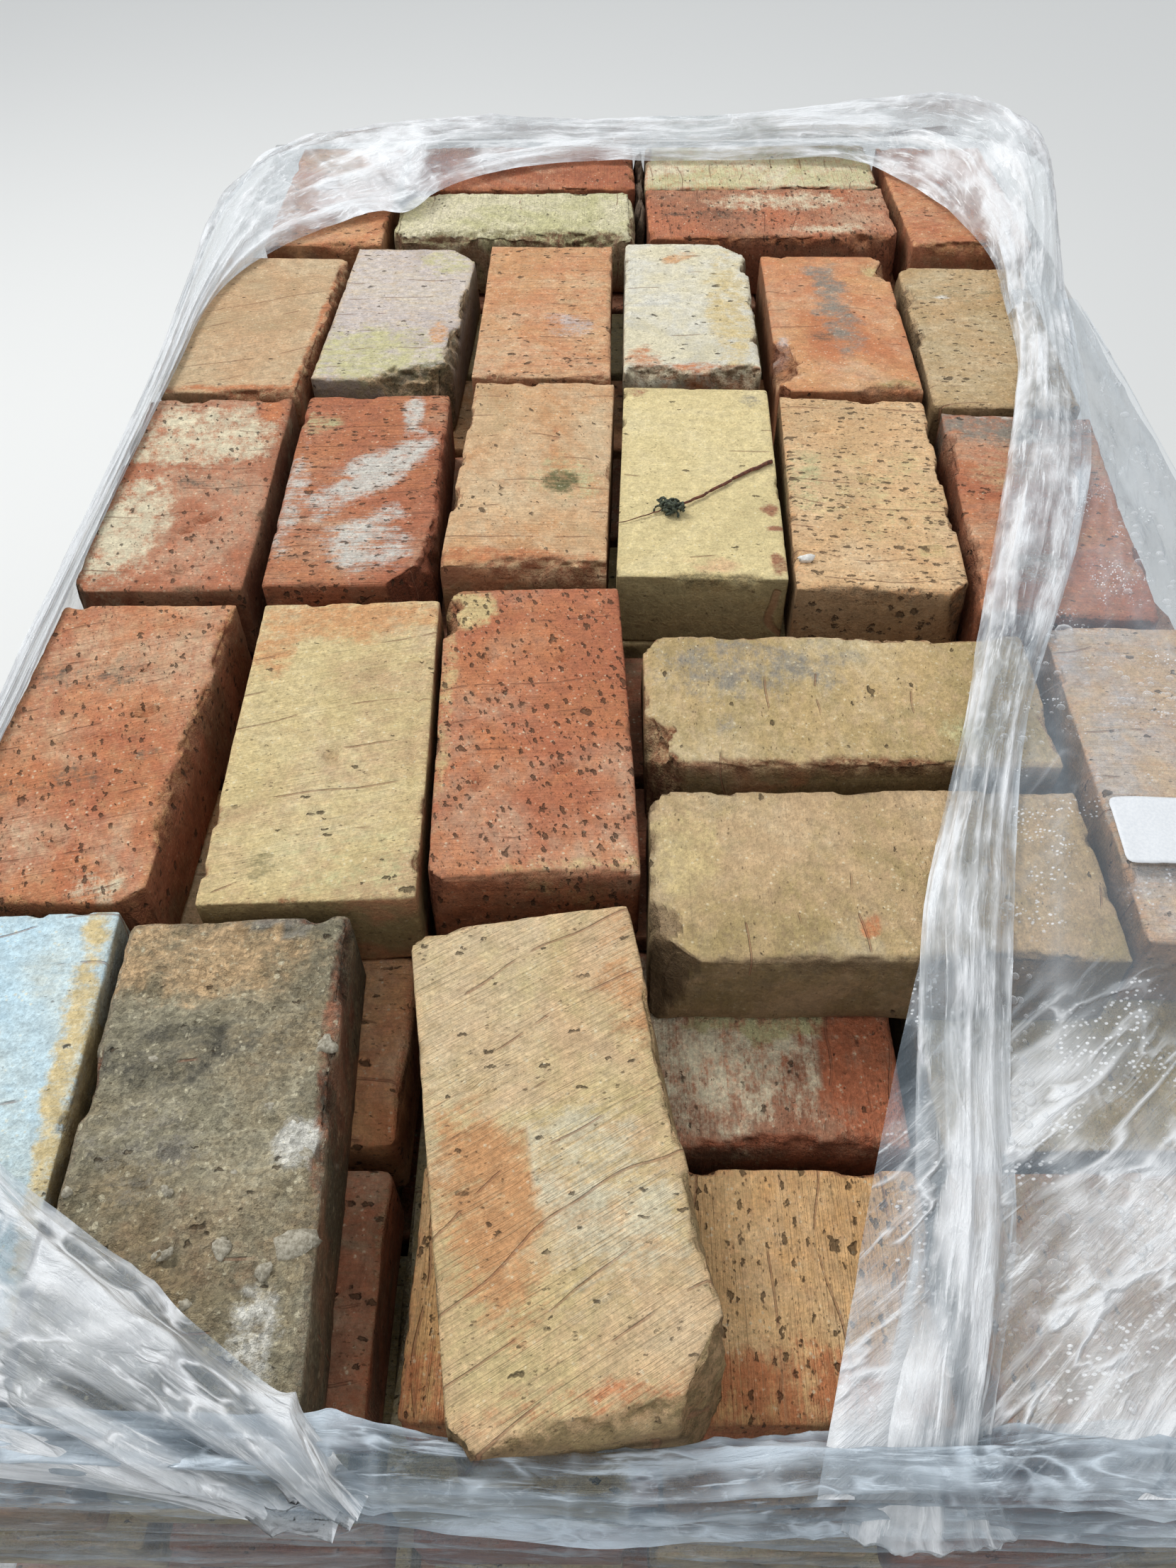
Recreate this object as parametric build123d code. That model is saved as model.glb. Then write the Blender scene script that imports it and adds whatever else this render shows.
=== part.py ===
from build123d import *
import os
from itertools import product
from math import cos, pi, sin

# A loaded pallet of reclaimed solid clay bricks, laid by hand in crossed layers and held by
# stretch film that is torn open on top. Millimetres, +Z up, the pallet's length along Y.
# The origin is the middle of the pallet's underside.

# Brick
brick_length = 230.0
brick_width = 110.0
brick_height = 55.0
brick_corner = 3.0
quarter_turn = 90.0

# Block pallet
pallet_length = 1200.0
pallet_width = 800.0
board_thickness = 22.0
block_height = 78.0
wide_board = 145.0
narrow_board = 100.0
foot_bevel = 8.0

# Brick stack: joints left between the bricks of a layer that lies along the pallet and of one
# that lies across it, and how far each kind of layer is set off the pallet's middle
layer_count = 14
column_count = 6
row_count = 5
crossed_column_count = 3
along_joint_x = 11.2
along_joint_y = 12.5
along_offset_x = 12.0
crossed_joint_x = 13.0
crossed_joint_y = 8.0
crossed_offset_x = 24.0
crossed_offset_y = 5.0
hand_shift = 1.0
hand_turn = 0.4

# Joints of the top layer before each brick's own shift
top_joint_x = 7.0
top_joint_y = 10.0

# Stretch film, and its torn edges on top
film_thickness = 1.5
film_clearance = 1.0
film_corner = 3.0
rest_clearance = 0.3
flap_thickness = 1.2
sag_depth = 45.0
torn_front_start = 48.0
arch_sides = 5

# Blank sticker on the film: size, and inset from the right and front walls
label_length = 68.0
label_width = 43.0
label_corner = 4.0
label_thickness = 0.6
label_inset = (96.0, 284.0)
label_turn = -3.0

along_length = row_count * brick_length + (row_count - 1) * along_joint_y
crossed_row_count = int((along_length + crossed_joint_y) // (brick_width + crossed_joint_y))
deck_bottom = board_thickness + block_height + board_thickness
deck_top = deck_bottom + board_thickness
stack_top = deck_top + layer_count * brick_height
top_foot = stack_top - brick_height
wrap_foot = deck_top + rest_clearance
flap_foot = stack_top + rest_clearance
rim_foot = flap_foot + flap_thickness + rest_clearance

# The top layer as laid. Each row runs from left to right, the front one first, and each brick
# gives how far it lies off its even place along X and along Y, and how far it is turned.
front_row = [(1, -4, 3.4), (-2, -4, 3.1), (30, -2, 9.8)]
second_row = [(3, -8, 0.0), (17, -6, 2.4), (12, 8, 2.5)]
third_row = [(0, -6, 1.7), (2, 0, 1.7), (3, 18, -1.6), (1, 7, -1.9), (-1, -7, -3.0), (-4, -31, -4.5)]
fourth_row = [(2, -9, -2.0), (-2, 10, -2.0), (4, 13, -0.6), (6, 20, -0.9), (9, -9, -1.1), (7, -32, -2.4)]

# Single bricks beside a pair, by column and row: shift along X and Y, and turn
single_bricks = {(5, 1): (18, -30, -1.5), (0, 4): (30, 6, 0.0), (5, 4): (33, 1, 0.0)}

# Pairs laid across two columns, by the first column and the row: shift along X and Y, and joint
crossed_pairs = {(3, 1): (13, -38, 15), (1, 4): (27, 12, 2), (3, 4): (31, 13, 1)}
front_pair = (3, 1)

# Corners broken off bricks of the top layer, by the brick's place in its row. Each corner gives
# its side across and along the brick, and how much is gone.
front_breaks = {2: [(1, -1, 30), (-1, -1, 12), (-1, 1, 10)]}
second_breaks = {0: [(1, -1, 12)], 2: [(-1, 1, 12), (-1, -1, 10)]}
third_breaks = {0: [(-1, -1, 10)], 1: [(1, -1, 32)], 4: [(1, -1, 16)]}
fourth_breaks = {
    1: [(1, 1, 26), (1, -1, 34)],
    3: [(1, 1, 28)],
    4: [(1, 1, 14), (-1, -1, 12)],
    5: [(-1, 1, 10)],
}

# The same for each pair, its near brick and its far one. Along such a brick is to the left.
pair_breaks = [
    ([(-1, 1, 24), (1, 1, 12)], [(-1, 1, 26), (1, 1, 14)]),
    ([(-1, 1, 22), (1, 1, 30), (1, -1, 20), (-1, -1, 14)], []),
    ([(-1, -1, 10)], []),
]

# Rims along the sides: inset from the wall, share of the half length, width and height
left_rim = [(11, -0.95, 20, 10), (8, -0.5, 14, 7), (7, 0.1, 12, 6), (10, 0.63, 18, 9), (18, 0.9, 32, 14)]
right_rim = [(24, 0.83, 36, 18), (38, 0.54, 46, 20), (36, 0.35, 38, 18), (90, -0.03, 44, 20),
             (170, -0.37, 32, 16), (204, -0.62, 30, 14)]

# Rims along the ends: inset from the wall, share of the half width, width and height
back_rim = [(32, -0.87, 44, 16), (31, -0.54, 50, 18), (32, -0.14, 48, 20), (33, 0.29, 46, 20),
            (36, 0.61, 52, 20), (40, 0.85, 56, 24)]
front_rim = [(14, -0.84, 16, 8), (12, -0.5, 14, 7), (12, -0.2, 14, 7)]
low_front_rim = [(12, 0.17, 18, 9), (14, 0.5, 24, 11), (14, 0.93, 22, 10)]

# Flaps seen from above: each point's inset from the side wall, and how far it lies from the end
# wall beside it, as a share of the half length
right_flap = [(0, 0), (0, 1.315), (34, 1.315), (100, 0.975), (186, 0.635), (306, 0)]
front_left_flap = [(0, 0), (0, 0.24), (100, 0.16), (202, 0.06), (260, 0)]
back_left_flap = [(0, 0), (0, 0.505), (160, 0.28), (126, 0)]
back_right_flap = [(0, 0), (0, 0.62), (56, 0.505), (86, 0.275), (124, 0)]


def block_at(length_x, length_y, height, x, y, z):
    """A plain block with its foot's middle at x, y, z."""
    body = Box(length_x, length_y, height, align=(Align.CENTER, Align.CENTER, Align.MIN))
    return Pos(x, y, z) * body


# Pallet

def cross_places():
    """Where the three cross boards lie along the pallet."""
    reach = (pallet_length - wide_board) / 2
    return [-reach, 0, reach]


def foot_places():
    """The three foot boards: each one's middle across the pallet, and its width."""
    reach = (pallet_width - narrow_board) / 2
    return [(-reach, narrow_board), (0, wide_board), (reach, narrow_board)]


def deck_boards():
    """Five deck boards along the pallet, wide and narrow in turn, evenly spaced."""
    widths = [wide_board, narrow_board, wide_board, narrow_board, wide_board]
    gap = (pallet_width - sum(widths)) / (len(widths) - 1)
    boards = {}
    edge = -pallet_width / 2
    for number, width in enumerate(widths, start=1):
        board = block_at(width, pallet_length, board_thickness, edge + width / 2, 0, deck_bottom)
        boards[f"deck_board_{number}"] = board
        edge += width + gap
    return boards


def cross_boards():
    """Three boards across the pallet, under the deck and on the blocks."""
    foot = board_thickness + block_height
    return {
        f"cross_board_{number}": block_at(pallet_width, wide_board, board_thickness, 0, y, foot)
        for number, y in enumerate(cross_places(), start=1)
    }


def blocks():
    """Nine blocks where the cross boards pass over the foot boards."""
    made = {}
    for y in cross_places():
        for x, width in foot_places():
            block = block_at(width, wide_board, block_height, x, y, board_thickness)
            made[f"block_{len(made) + 1}"] = block
    return made


def foot_boards():
    """Three boards along the pallet on the floor, their upper edges bevelled between blocks."""
    span = (pallet_length - 3 * wide_board) / 2
    middles = [(wide_board + span) / 2 * side for side in (-1, 1)]
    bevel = Rot(0, 45, 0) * Box(foot_bevel * 2**0.5, span, foot_bevel * 2**0.5)
    boards = {}
    for number, (x, width) in enumerate(foot_places(), start=1):
        board = block_at(width, pallet_length, board_thickness, x, 0, 0)
        for y in middles:
            for edge in (x - width / 2, x + width / 2):
                board -= Pos(edge, y, board_thickness) * bevel
        boards[f"foot_board_{number}"] = board
    return boards


# Bricks

def brick_plan(broken):
    """The brick's outline with worn corners, some of them broken off further."""
    gone = {(side_x, side_y): amount for side_x, side_y, amount in broken}
    plan = Rectangle(brick_width, brick_length)
    for side_x, side_y in product((-1, 1), repeat=2):
        corner = (side_x * brick_width / 2, side_y * brick_length / 2)
        vertex = plan.vertices().sort_by_distance(corner)[0]
        plan = chamfer(vertex, gone.get((side_x, side_y), brick_corner))
    return plan


def brick(x, y, turn, foot, broken=()):
    """A solid brick lying flat, its length along Y before it is turned."""
    return Pos(x, y, foot) * Rot(0, 0, turn) * extrude(brick_plan(broken), brick_height)


def hand(number, amount):
    """A small uneven amount, the same for the same brick each time."""
    return amount * sin(12.9898 * number)


def grid(count, size, joint, middle=0.0):
    """Middles of count bricks in a line, this joint apart."""
    return [middle + (place - (count - 1) / 2) * (size + joint) for place in range(count)]


def even_layer(layer, columns, rows, turn, foot):
    """A layer of bricks in even columns and rows, each a little off as hand-laid ones are."""
    made = []
    for x in columns:
        for y in rows:
            seed = layer * len(columns) * len(rows) + len(made)
            place = (x + hand(seed, hand_shift), y + hand(seed + len(columns), hand_shift))
            made.append(brick(*place, turn + hand(seed + len(rows), hand_turn), foot))
    return made


def along_layer(layer, foot):
    """A layer whose bricks all lie along the pallet."""
    columns = grid(column_count, brick_width, along_joint_x, along_offset_x)
    rows = grid(row_count, brick_length, along_joint_y)
    return even_layer(layer, columns, rows, 0, foot)


def crossed_layer(layer, foot):
    """A layer whose bricks all lie across the pallet."""
    columns = grid(crossed_column_count, brick_length, crossed_joint_x, crossed_offset_x)
    rows = grid(crossed_row_count, brick_width, crossed_joint_y, crossed_offset_y)
    return even_layer(layer, columns, rows, quarter_turn, foot)


top_columns = grid(column_count, brick_width, top_joint_x)
top_rows = grid(row_count, brick_length, top_joint_y)


def pair_middles(place):
    """Middles of two bricks side by side, laid across this column and the next."""
    column, row = place
    shift_x, shift_y, joint = crossed_pairs[place]
    x = (top_columns[column] + top_columns[column + 1]) / 2 + shift_x
    reach = (brick_width + joint) / 2
    return [(x, top_rows[row] + shift_y + side * reach) for side in (-1, 1)]


def top_layer():
    """The uppermost bricks, where those of the front right corner have been taken away."""
    rows = [front_row, second_row, third_row, fourth_row]
    breaks = [front_breaks, second_breaks, third_breaks, fourth_breaks]
    made = []
    for y, laid, broken in zip(top_rows, rows, breaks):
        for column, (shift_x, shift_y, turn) in enumerate(laid):
            place = (top_columns[column] + shift_x, y + shift_y)
            made.append(brick(*place, turn, top_foot, broken.get(column, ())))
    for (column, row), (shift_x, shift_y, turn) in single_bricks.items():
        made.append(brick(top_columns[column] + shift_x, top_rows[row] + shift_y, turn, top_foot))
    for place, broken in zip(crossed_pairs, pair_breaks):
        for (x, y), corners in zip(pair_middles(place), broken):
            made.append(brick(x, y, quarter_turn, top_foot, corners))
    return made


def brick_layers():
    """All layers from the deck up, crossed in turn, with one that lies along on top."""
    layers = {}
    for layer in range(layer_count - 1):
        foot = deck_top + layer * brick_height
        crossed = (layer_count - layer) % 2 == 0
        bricks = crossed_layer(layer, foot) if crossed else along_layer(layer, foot)
        layers[f"brick_layer_{layer + 1:02d}"] = Compound(children=bricks)
    layers[f"brick_layer_{layer_count:02d}"] = Compound(children=top_layer())
    return layers


# Stretch film. Its walls are given as left, right and end: the inner faces along X, and the one
# at the back along Y, which the front one mirrors.

def film_walls(layers):
    """The walls of film drawn tight round all the bricks."""
    boxes = [layer.bounding_box() for layer in layers.values()]
    left = min(box.min.X for box in boxes)
    right = max(box.max.X for box in boxes)
    end = max(max(-box.min.Y, box.max.Y) for box in boxes)
    return left - film_clearance, right + film_clearance, end + film_clearance


def film_form(walls, grow):
    """The space inside the film, grown outwards: straight from the deck to the top of the stack."""
    left, right, end = walls
    plan = RectangleRounded(right - left + 2 * grow, 2 * (end + grow), film_corner + grow)
    return Pos((left + right) / 2, 0, wrap_foot) * extrude(plan, stack_top - wrap_foot)


def sag_start():
    """The near edge of the front pair, where the film leaves the top layer."""
    return pair_middles(front_pair)[0][1] - brick_width / 2


def sag_slope(end):
    """How steeply the film falls from there to the front wall."""
    return sag_depth / (sag_start() + end)


def film_wrap(walls):
    """The film round the four sides, open above and below, torn lower at the front right."""
    left, right, end = walls
    start = sag_start()
    front = -end - 2 * film_thickness
    low = stack_top - sag_slope(end) * (start - front)
    corners = [(start, stack_top), (front, low), (front, flap_foot), (start, flap_foot)]
    torn = make_face(Polyline(*corners, close=True))
    side = right + 2 * film_thickness - torn_front_start
    gap = extrude(Plane.YZ.offset(torn_front_start) * torn, side)
    return film_form(walls, film_thickness) - film_form(walls, 0) - gap


def flap_plan(insets, wall_x, wall_y):
    """A flap's outline in a corner of the film, drawn from its two walls."""
    side_x = 1 if wall_x > 0 else -1
    points = [(wall_x - side_x * inset, wall_y * (1 - share)) for inset, share in insets]
    return make_face(Polyline(*points, close=True))


def flat_flap(insets, wall_x, wall_y):
    """A piece of film lying flat on the top layer."""
    return Pos(0, 0, flap_foot) * extrude(flap_plan(insets, wall_x, wall_y), flap_thickness)


def film_flap_right(walls):
    """The sheet over the right side: flat on the bricks, then sagging to the low front wall."""
    left, right, end = walls
    under = [(end, flap_foot), (sag_start(), flap_foot), (-end, flap_foot - sag_depth)]
    over = [(y, z + flap_thickness) for y, z in reversed(under)]
    profile = make_face(Polyline(*under, *over, close=True))
    strip = extrude(Plane.YZ * profile, right)
    return strip & extrude(flap_plan(right_flap, right, -end), 2 * stack_top)


def rim_section(place, width, height):
    """A low arch of a few flat sides standing on its chord, across the rim."""
    angles = [pi * step / arch_sides for step in range(arch_sides + 1)]
    arch = [(width / 2 * cos(angle), height * sin(angle)) for angle in angles]
    return place * make_face(Polyline(*arch, close=True))


def film_rim(stations, foot):
    """A bunched edge of film: low arches joined along a route of (x, y, width, height)."""
    sections = []
    for number, (x, y, width, height) in enumerate(stations):
        before = stations[max(number - 1, 0)]
        after = stations[min(number + 1, len(stations) - 1)]
        heading = Vector(after[0] - before[0], after[1] - before[1], 0).normalized()
        place = Plane(origin=(x, y, foot), x_dir=(heading.Y, -heading.X, 0), z_dir=-heading)
        sections.append(rim_section(place, width, height))
    return loft(sections, ruled=True)


def side_rim(stations, wall_x, end, foot):
    """A rim that follows a side wall."""
    side = 1 if wall_x > 0 else -1
    route = [(wall_x - side * inset, share * end, *size) for inset, share, *size in stations]
    return film_rim(route, foot)


def end_rim(stations, walls, side, foot):
    """A rim that follows the back wall, or the front one where side is negative."""
    left, right, end = walls
    half = (right - left) / 2
    middle = (left + right) / 2
    route = [(middle + share * half, side * (end - inset), *size) for inset, share, *size in stations]
    return film_rim(route, foot)


def low_rim_foot(end):
    """The low front rim's foot, clear of the sagging sheet under its inner side."""
    under_rim = max(inset + width / 2 for inset, share, width, height in low_front_rim)
    return rim_foot - sag_depth + sag_slope(end) * under_rim


def blank_label(walls):
    """A plain sticker with round corners on the right sheet."""
    left, right, end = walls
    plan = RectangleRounded(label_length, label_width, label_corner)
    place = Pos(right - label_inset[0], label_inset[1] - end, flap_foot + flap_thickness)
    return place * Rot(0, 0, label_turn) * extrude(plan, label_thickness)


def film_parts(walls):
    """The film's wrap, flaps and rims, and the sticker."""
    left, right, end = walls
    return {
        "film_wrap": film_wrap(walls),
        "film_flap_right": film_flap_right(walls),
        "film_flap_front_left": flat_flap(front_left_flap, left, -end),
        "film_flap_back_left": flat_flap(back_left_flap, left, end),
        "film_flap_back_right": flat_flap(back_right_flap, right, end),
        "film_rim_left": side_rim(left_rim, left, end, rim_foot),
        "film_rim_right": side_rim(right_rim, right, end, rim_foot),
        "film_rim_back": end_rim(back_rim, walls, 1, rim_foot),
        "film_rim_front": end_rim(front_rim, walls, -1, rim_foot),
        "film_rim_front_low": end_rim(low_front_rim, walls, -1, low_rim_foot(end)),
        "blank_label": blank_label(walls),
    }


def loaded_pallet():
    """Every node of the loaded pallet by name."""
    layers = brick_layers()
    return {
        **deck_boards(),
        **cross_boards(),
        **blocks(),
        **foot_boards(),
        **layers,
        **film_parts(film_walls(layers)),
    }


os.makedirs("parts", exist_ok=True)
for name, shape in loaded_pallet().items():
    export_step(shape, f"parts/{name}.step")
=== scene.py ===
import math
import random
from itertools import product

import bmesh
import bpy
import numpy as np
from mathutils import Matrix, Vector


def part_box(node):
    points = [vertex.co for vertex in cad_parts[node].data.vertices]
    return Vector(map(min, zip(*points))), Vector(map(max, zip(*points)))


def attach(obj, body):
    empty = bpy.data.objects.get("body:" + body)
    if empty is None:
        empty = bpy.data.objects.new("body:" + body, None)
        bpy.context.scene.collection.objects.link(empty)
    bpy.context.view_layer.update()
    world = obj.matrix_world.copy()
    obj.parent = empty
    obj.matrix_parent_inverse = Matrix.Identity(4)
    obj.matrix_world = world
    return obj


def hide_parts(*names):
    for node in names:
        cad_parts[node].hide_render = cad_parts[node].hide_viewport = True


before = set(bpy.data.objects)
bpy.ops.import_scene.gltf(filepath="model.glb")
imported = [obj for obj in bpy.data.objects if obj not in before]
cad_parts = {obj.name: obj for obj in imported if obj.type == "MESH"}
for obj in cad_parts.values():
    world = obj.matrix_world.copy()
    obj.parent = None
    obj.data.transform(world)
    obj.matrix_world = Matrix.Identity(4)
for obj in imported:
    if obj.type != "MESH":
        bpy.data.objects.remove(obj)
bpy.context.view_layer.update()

# The dressed pallet of bricks. Metres, +Z up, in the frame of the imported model.
MM = 0.001
TOP_LAYER = "brick_layer_14"
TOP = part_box(TOP_LAYER)[1].z
WALL_LOW, WALL_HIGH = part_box("film_wrap")
BODY = "root"

# Colours as they are seen, in hexadecimal
CREAM = "ddd3b4"
LIME_WHITE = "d9d6cb"
PALE_YELLOW = "dcc994"
STRAW = "d2bb86"
OLIVE = "a99262"
OLIVE_DARK = "7d7350"
TAN = "c8a87f"
PEACH = "d9b58a"
ORANGE = "ce9868"
RED_ORANGE = "c57d52"
RED = "b86d4b"
DARK_RED = "9a563a"
BROWN_RED = "99664c"
BROWN = "8a7256"
PINK_GREY = "c9bdb7"
GREY = "8b8579"
DARK_GREY = "5b574c"
MOSS = "62643f"
LICHEN = "c5bf8f"
PALE_BLUE = "c3d9e0"
SOOT = "3c3a33"
REDS = (RED_ORANGE, RED, DARK_RED, BROWN_RED, ORANGE)


def linear(name):
    """A seen colour as the linear one that shaders take."""
    parts = [int(name[place:place + 2], 16) / 255 for place in (0, 2, 4)]
    parts = [part / 12.92 if part < 0.04045 else ((part + 0.055) / 1.055) ** 2.4 for part in parts]
    return (*parts, 1.0)


# Noise for shapes

def lattice(cells, seed):
    """A repeatable value from -1 to 1 for each whole cell."""
    mixed = np.sin(cells @ np.array([127.1, 311.7, 74.7]) + seed * 19.19) * 43758.5453
    return 2 * (mixed - np.floor(mixed)) - 1


def ripple(points, size, seed=0):
    """Smooth noise from about -1 to 1 whose features are this large."""
    spot = points / size
    cell = np.floor(spot)
    part = spot - cell
    part = part * part * (3 - 2 * part)
    total = np.zeros(len(points))
    for corner in product((0, 1), repeat=3):
        corner = np.array(corner)
        weight = np.prod(np.where(corner == 1, part, 1 - part), axis=1)
        total += weight * lattice(cell + corner, seed)
    return total


def layered(points, size, seed=0, octaves=3):
    """Noise with finer and weaker noise added to it."""
    return sum(ripple(points, size / 2**n, seed + n) / 1.7**n for n in range(octaves))


# Shaders

class Wire:
    """A value in a shader, with the usual arithmetic."""

    def __init__(self, socket):
        self.socket = socket
        self.tree = socket.id_data

    def beside(self, name):
        """Another output of the same node."""
        return Wire(self.socket.node.outputs[name])

    def __add__(self, other):
        return calc("ADD", self, other)

    def __sub__(self, other):
        return calc("SUBTRACT", self, other)

    def __mul__(self, other):
        return calc("MULTIPLY", self, other)

    def __truediv__(self, other):
        return calc("DIVIDE", self, other)


def feed(made, inputs):
    """Gives a node's inputs their values, or ties them to others."""
    for name, value in inputs.items():
        if isinstance(value, Wire):
            value.tree.links.new(value.socket, made.inputs[name])
        else:
            made.inputs[name].default_value = value


def node(tree, kind, settings=None, inputs=None, output=0):
    """Adds a node, sets it up, feeds it, and returns one of its outputs."""
    made = tree.nodes.new("ShaderNode" + kind)
    for name, value in (settings or {}).items():
        setattr(made, name, value)
    feed(made, inputs or {})
    return Wire(made.outputs[output])


def mix(factor, one, other, blend="MIX"):
    tree = next(value.tree for value in (factor, one, other) if isinstance(value, Wire))
    return node(tree, "Mix", {"data_type": "RGBA", "blend_type": blend}, {0: factor, 6: one, 7: other}, 2)


def calc(operation, one, *others):
    return node(one.tree, "Math", {"operation": operation}, dict(enumerate((one, *others))))


def step(value, low, high, first=0.0, last=1.0):
    """Goes smoothly from first to last as the value goes from low to high."""
    inputs = {"Value": value, "From Min": low, "From Max": high, "To Min": first, "To Max": last}
    return node(value.tree, "MapRange", {"interpolation_type": "SMOOTHSTEP"}, inputs)


def noise(place, scale, detail=3.0, rough=0.6, twist=0.0):
    inputs = {"Vector": place, "Scale": scale, "Detail": detail, "Roughness": rough, "Distortion": twist}
    return node(place.tree, "TexNoise", None, inputs)


def cells(place, scale):
    return node(place.tree, "TexVoronoi", None, {"Vector": place, "Scale": scale})


def mapped(place, **inputs):
    return node(place.tree, "Mapping", None, {"Vector": place, **inputs})


def stored(tree, name, output):
    """A value that the mesh keeps at its points."""
    return node(tree, "Attribute", {"attribute_name": name}, output=output)


def own_place(tree):
    return node(tree, "TexCoord", output=3)


def bump(height, strength, distance):
    return node(height.tree, "Bump", None, {"Height": height, "Strength": strength, "Distance": distance})


def new_material(name):
    """An empty material with its principled shader."""
    material = bpy.data.materials.new(name)
    material.use_nodes = True
    return material, material.node_tree, material.node_tree.nodes["Principled BSDF"]


def grey_scale(value):
    """The same value as a grey colour."""
    return node(value.tree, "CombineColor", None, {place: value for place in range(3)})


def shaken(place, size, amount):
    """Coordinates pushed about, so that what follows them gets uneven outlines."""
    tree = place.tree
    push = node(tree, "TexNoise", None, {"Vector": place, "Scale": size, "Detail": 2.0}, 1)
    push = node(tree, "VectorMath", {"operation": "SUBTRACT"}, {0: push, 1: (0.5, 0.5, 0.5)})
    push = node(tree, "VectorMath", {"operation": "SCALE"}, {0: push, "Scale": amount})
    return node(tree, "VectorMath", {"operation": "ADD"}, {0: place, 1: push})


def pits_of(here, size, reach, amount, patchiness):
    """Holes left by the firing, darkened later with painted shade: uneven in outline and size, in loose
    groups, drawn out along X.
    """
    gap = cells(mapped(shaken(here, 3.5 * size, 0.5 / size), Scale=(1, 2.2, 1)), size)
    chance = node(here.tree, "SeparateXYZ", None, {0: gap.beside("Color")})
    width = chance * reach + 0.35 * reach
    hole = step(gap / width, 0.6, 1.0, 1.0, 0.0)
    kept = calc("LESS_THAN", chance.beside(1), amount * 0.62 + 0.12)
    where = amount * 0.3 + noise(here, patchiness, 2, 0.6)
    return hole * kept * step(where, 0.6, 0.66)


def scratches(here, amount):
    """A few long fine scratches, lightly bent."""
    inputs = {"Vector": shaken(here, 7, 0.05), "Scale": 11.0, "Distortion": 1.5, "Detail": 1.0}
    wave = node(here.tree, "TexWave", {"bands_direction": "Y"}, inputs, 1)
    where = amount * 0.2 + noise(here, 21, 2)
    return step(wave, 0.994, 0.9995) * step(where, 0.61, 0.65)


CLAY_COLOURS = ("main", "second", "third", "side", "dirt", "mark")
CLAY_AMOUNTS = ("pits", "strokes", "sand")


def clay_inputs(tree):
    """The sockets of the clay: its colours, its amounts, and the shift and turns of one brick."""
    for name in CLAY_COLOURS:
        tree.interface.new_socket(name, in_out="INPUT", socket_type="NodeSocketColor")
    for name in CLAY_AMOUNTS:
        tree.interface.new_socket(name, in_out="INPUT", socket_type="NodeSocketFloat")
    for name in ("shift", "pit_turn", "stroke_turn"):
        tree.interface.new_socket(name, in_out="INPUT", socket_type="NodeSocketVector")
    tree.interface.new_socket("colour", in_out="OUTPUT", socket_type="NodeSocketColor")
    tree.interface.new_socket("height", in_out="OUTPUT", socket_type="NodeSocketFloat")
    return {socket.name: Wire(socket) for socket in tree.nodes.new("NodeGroupInput").outputs[:-1]}


def with_breaks(tree, colour, given, coarse, cloud):
    """The colour with the inner clay shown at worn edges and on broken faces."""
    fresh = stored(tree, "fresh", 2)
    worn = stored(tree, "edge", 2) * step(coarse, 0.42, 0.56)
    inner = mix(step(coarse, 0.38, 0.62), given["side"], given["third"])
    colour = mix(worn * 0.6, colour, inner)
    inner = mix(step(cloud, 0.4, 0.6, 0, 0.5), inner, linear(BROWN))
    return mix(fresh * 0.75, colour, inner), fresh


def with_grains(tree, colour, here, coarse, sand):
    """The colour with grains of sand, lighter and darker, and pale bits in it."""
    grain = node(tree, "SeparateXYZ", None, {0: cells(here, 520.0).beside("Color")})
    grain = (grain - 0.48) * (sand * 0.9) + 1.0
    colour = mix(1.0, colour, grey_scale(grain), "MULTIPLY")
    bit = step(cells(here, 130), 0.16, 0.24, 1.0, 0.0) * step(coarse, 0.5, 0.55)
    return mix(bit * (sand * 0.8), colour, linear(CREAM))


def with_side_shade(tree, colour, given, cloud):
    """The colour darkened on all that doesn't look up: painted shade, partly in the brick's own side
    colour.
    """
    up = node(tree, "SeparateXYZ", None, {0: node(tree, "NewGeometry", output=1)}, 2)
    # Painted shade: every face that doesn't look up is darkened, and partly takes the brick's side colour.
    flank = step(up, 0.15, 0.75, 0.85, 0.0)
    side_shade = mix(1.0, colour, linear("9a9184"), "MULTIPLY")
    side_shade = mix(step(cloud, 0.42, 0.62, 0, 0.5), side_shade, given["side"])
    return mix(flank, colour, side_shade)


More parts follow.
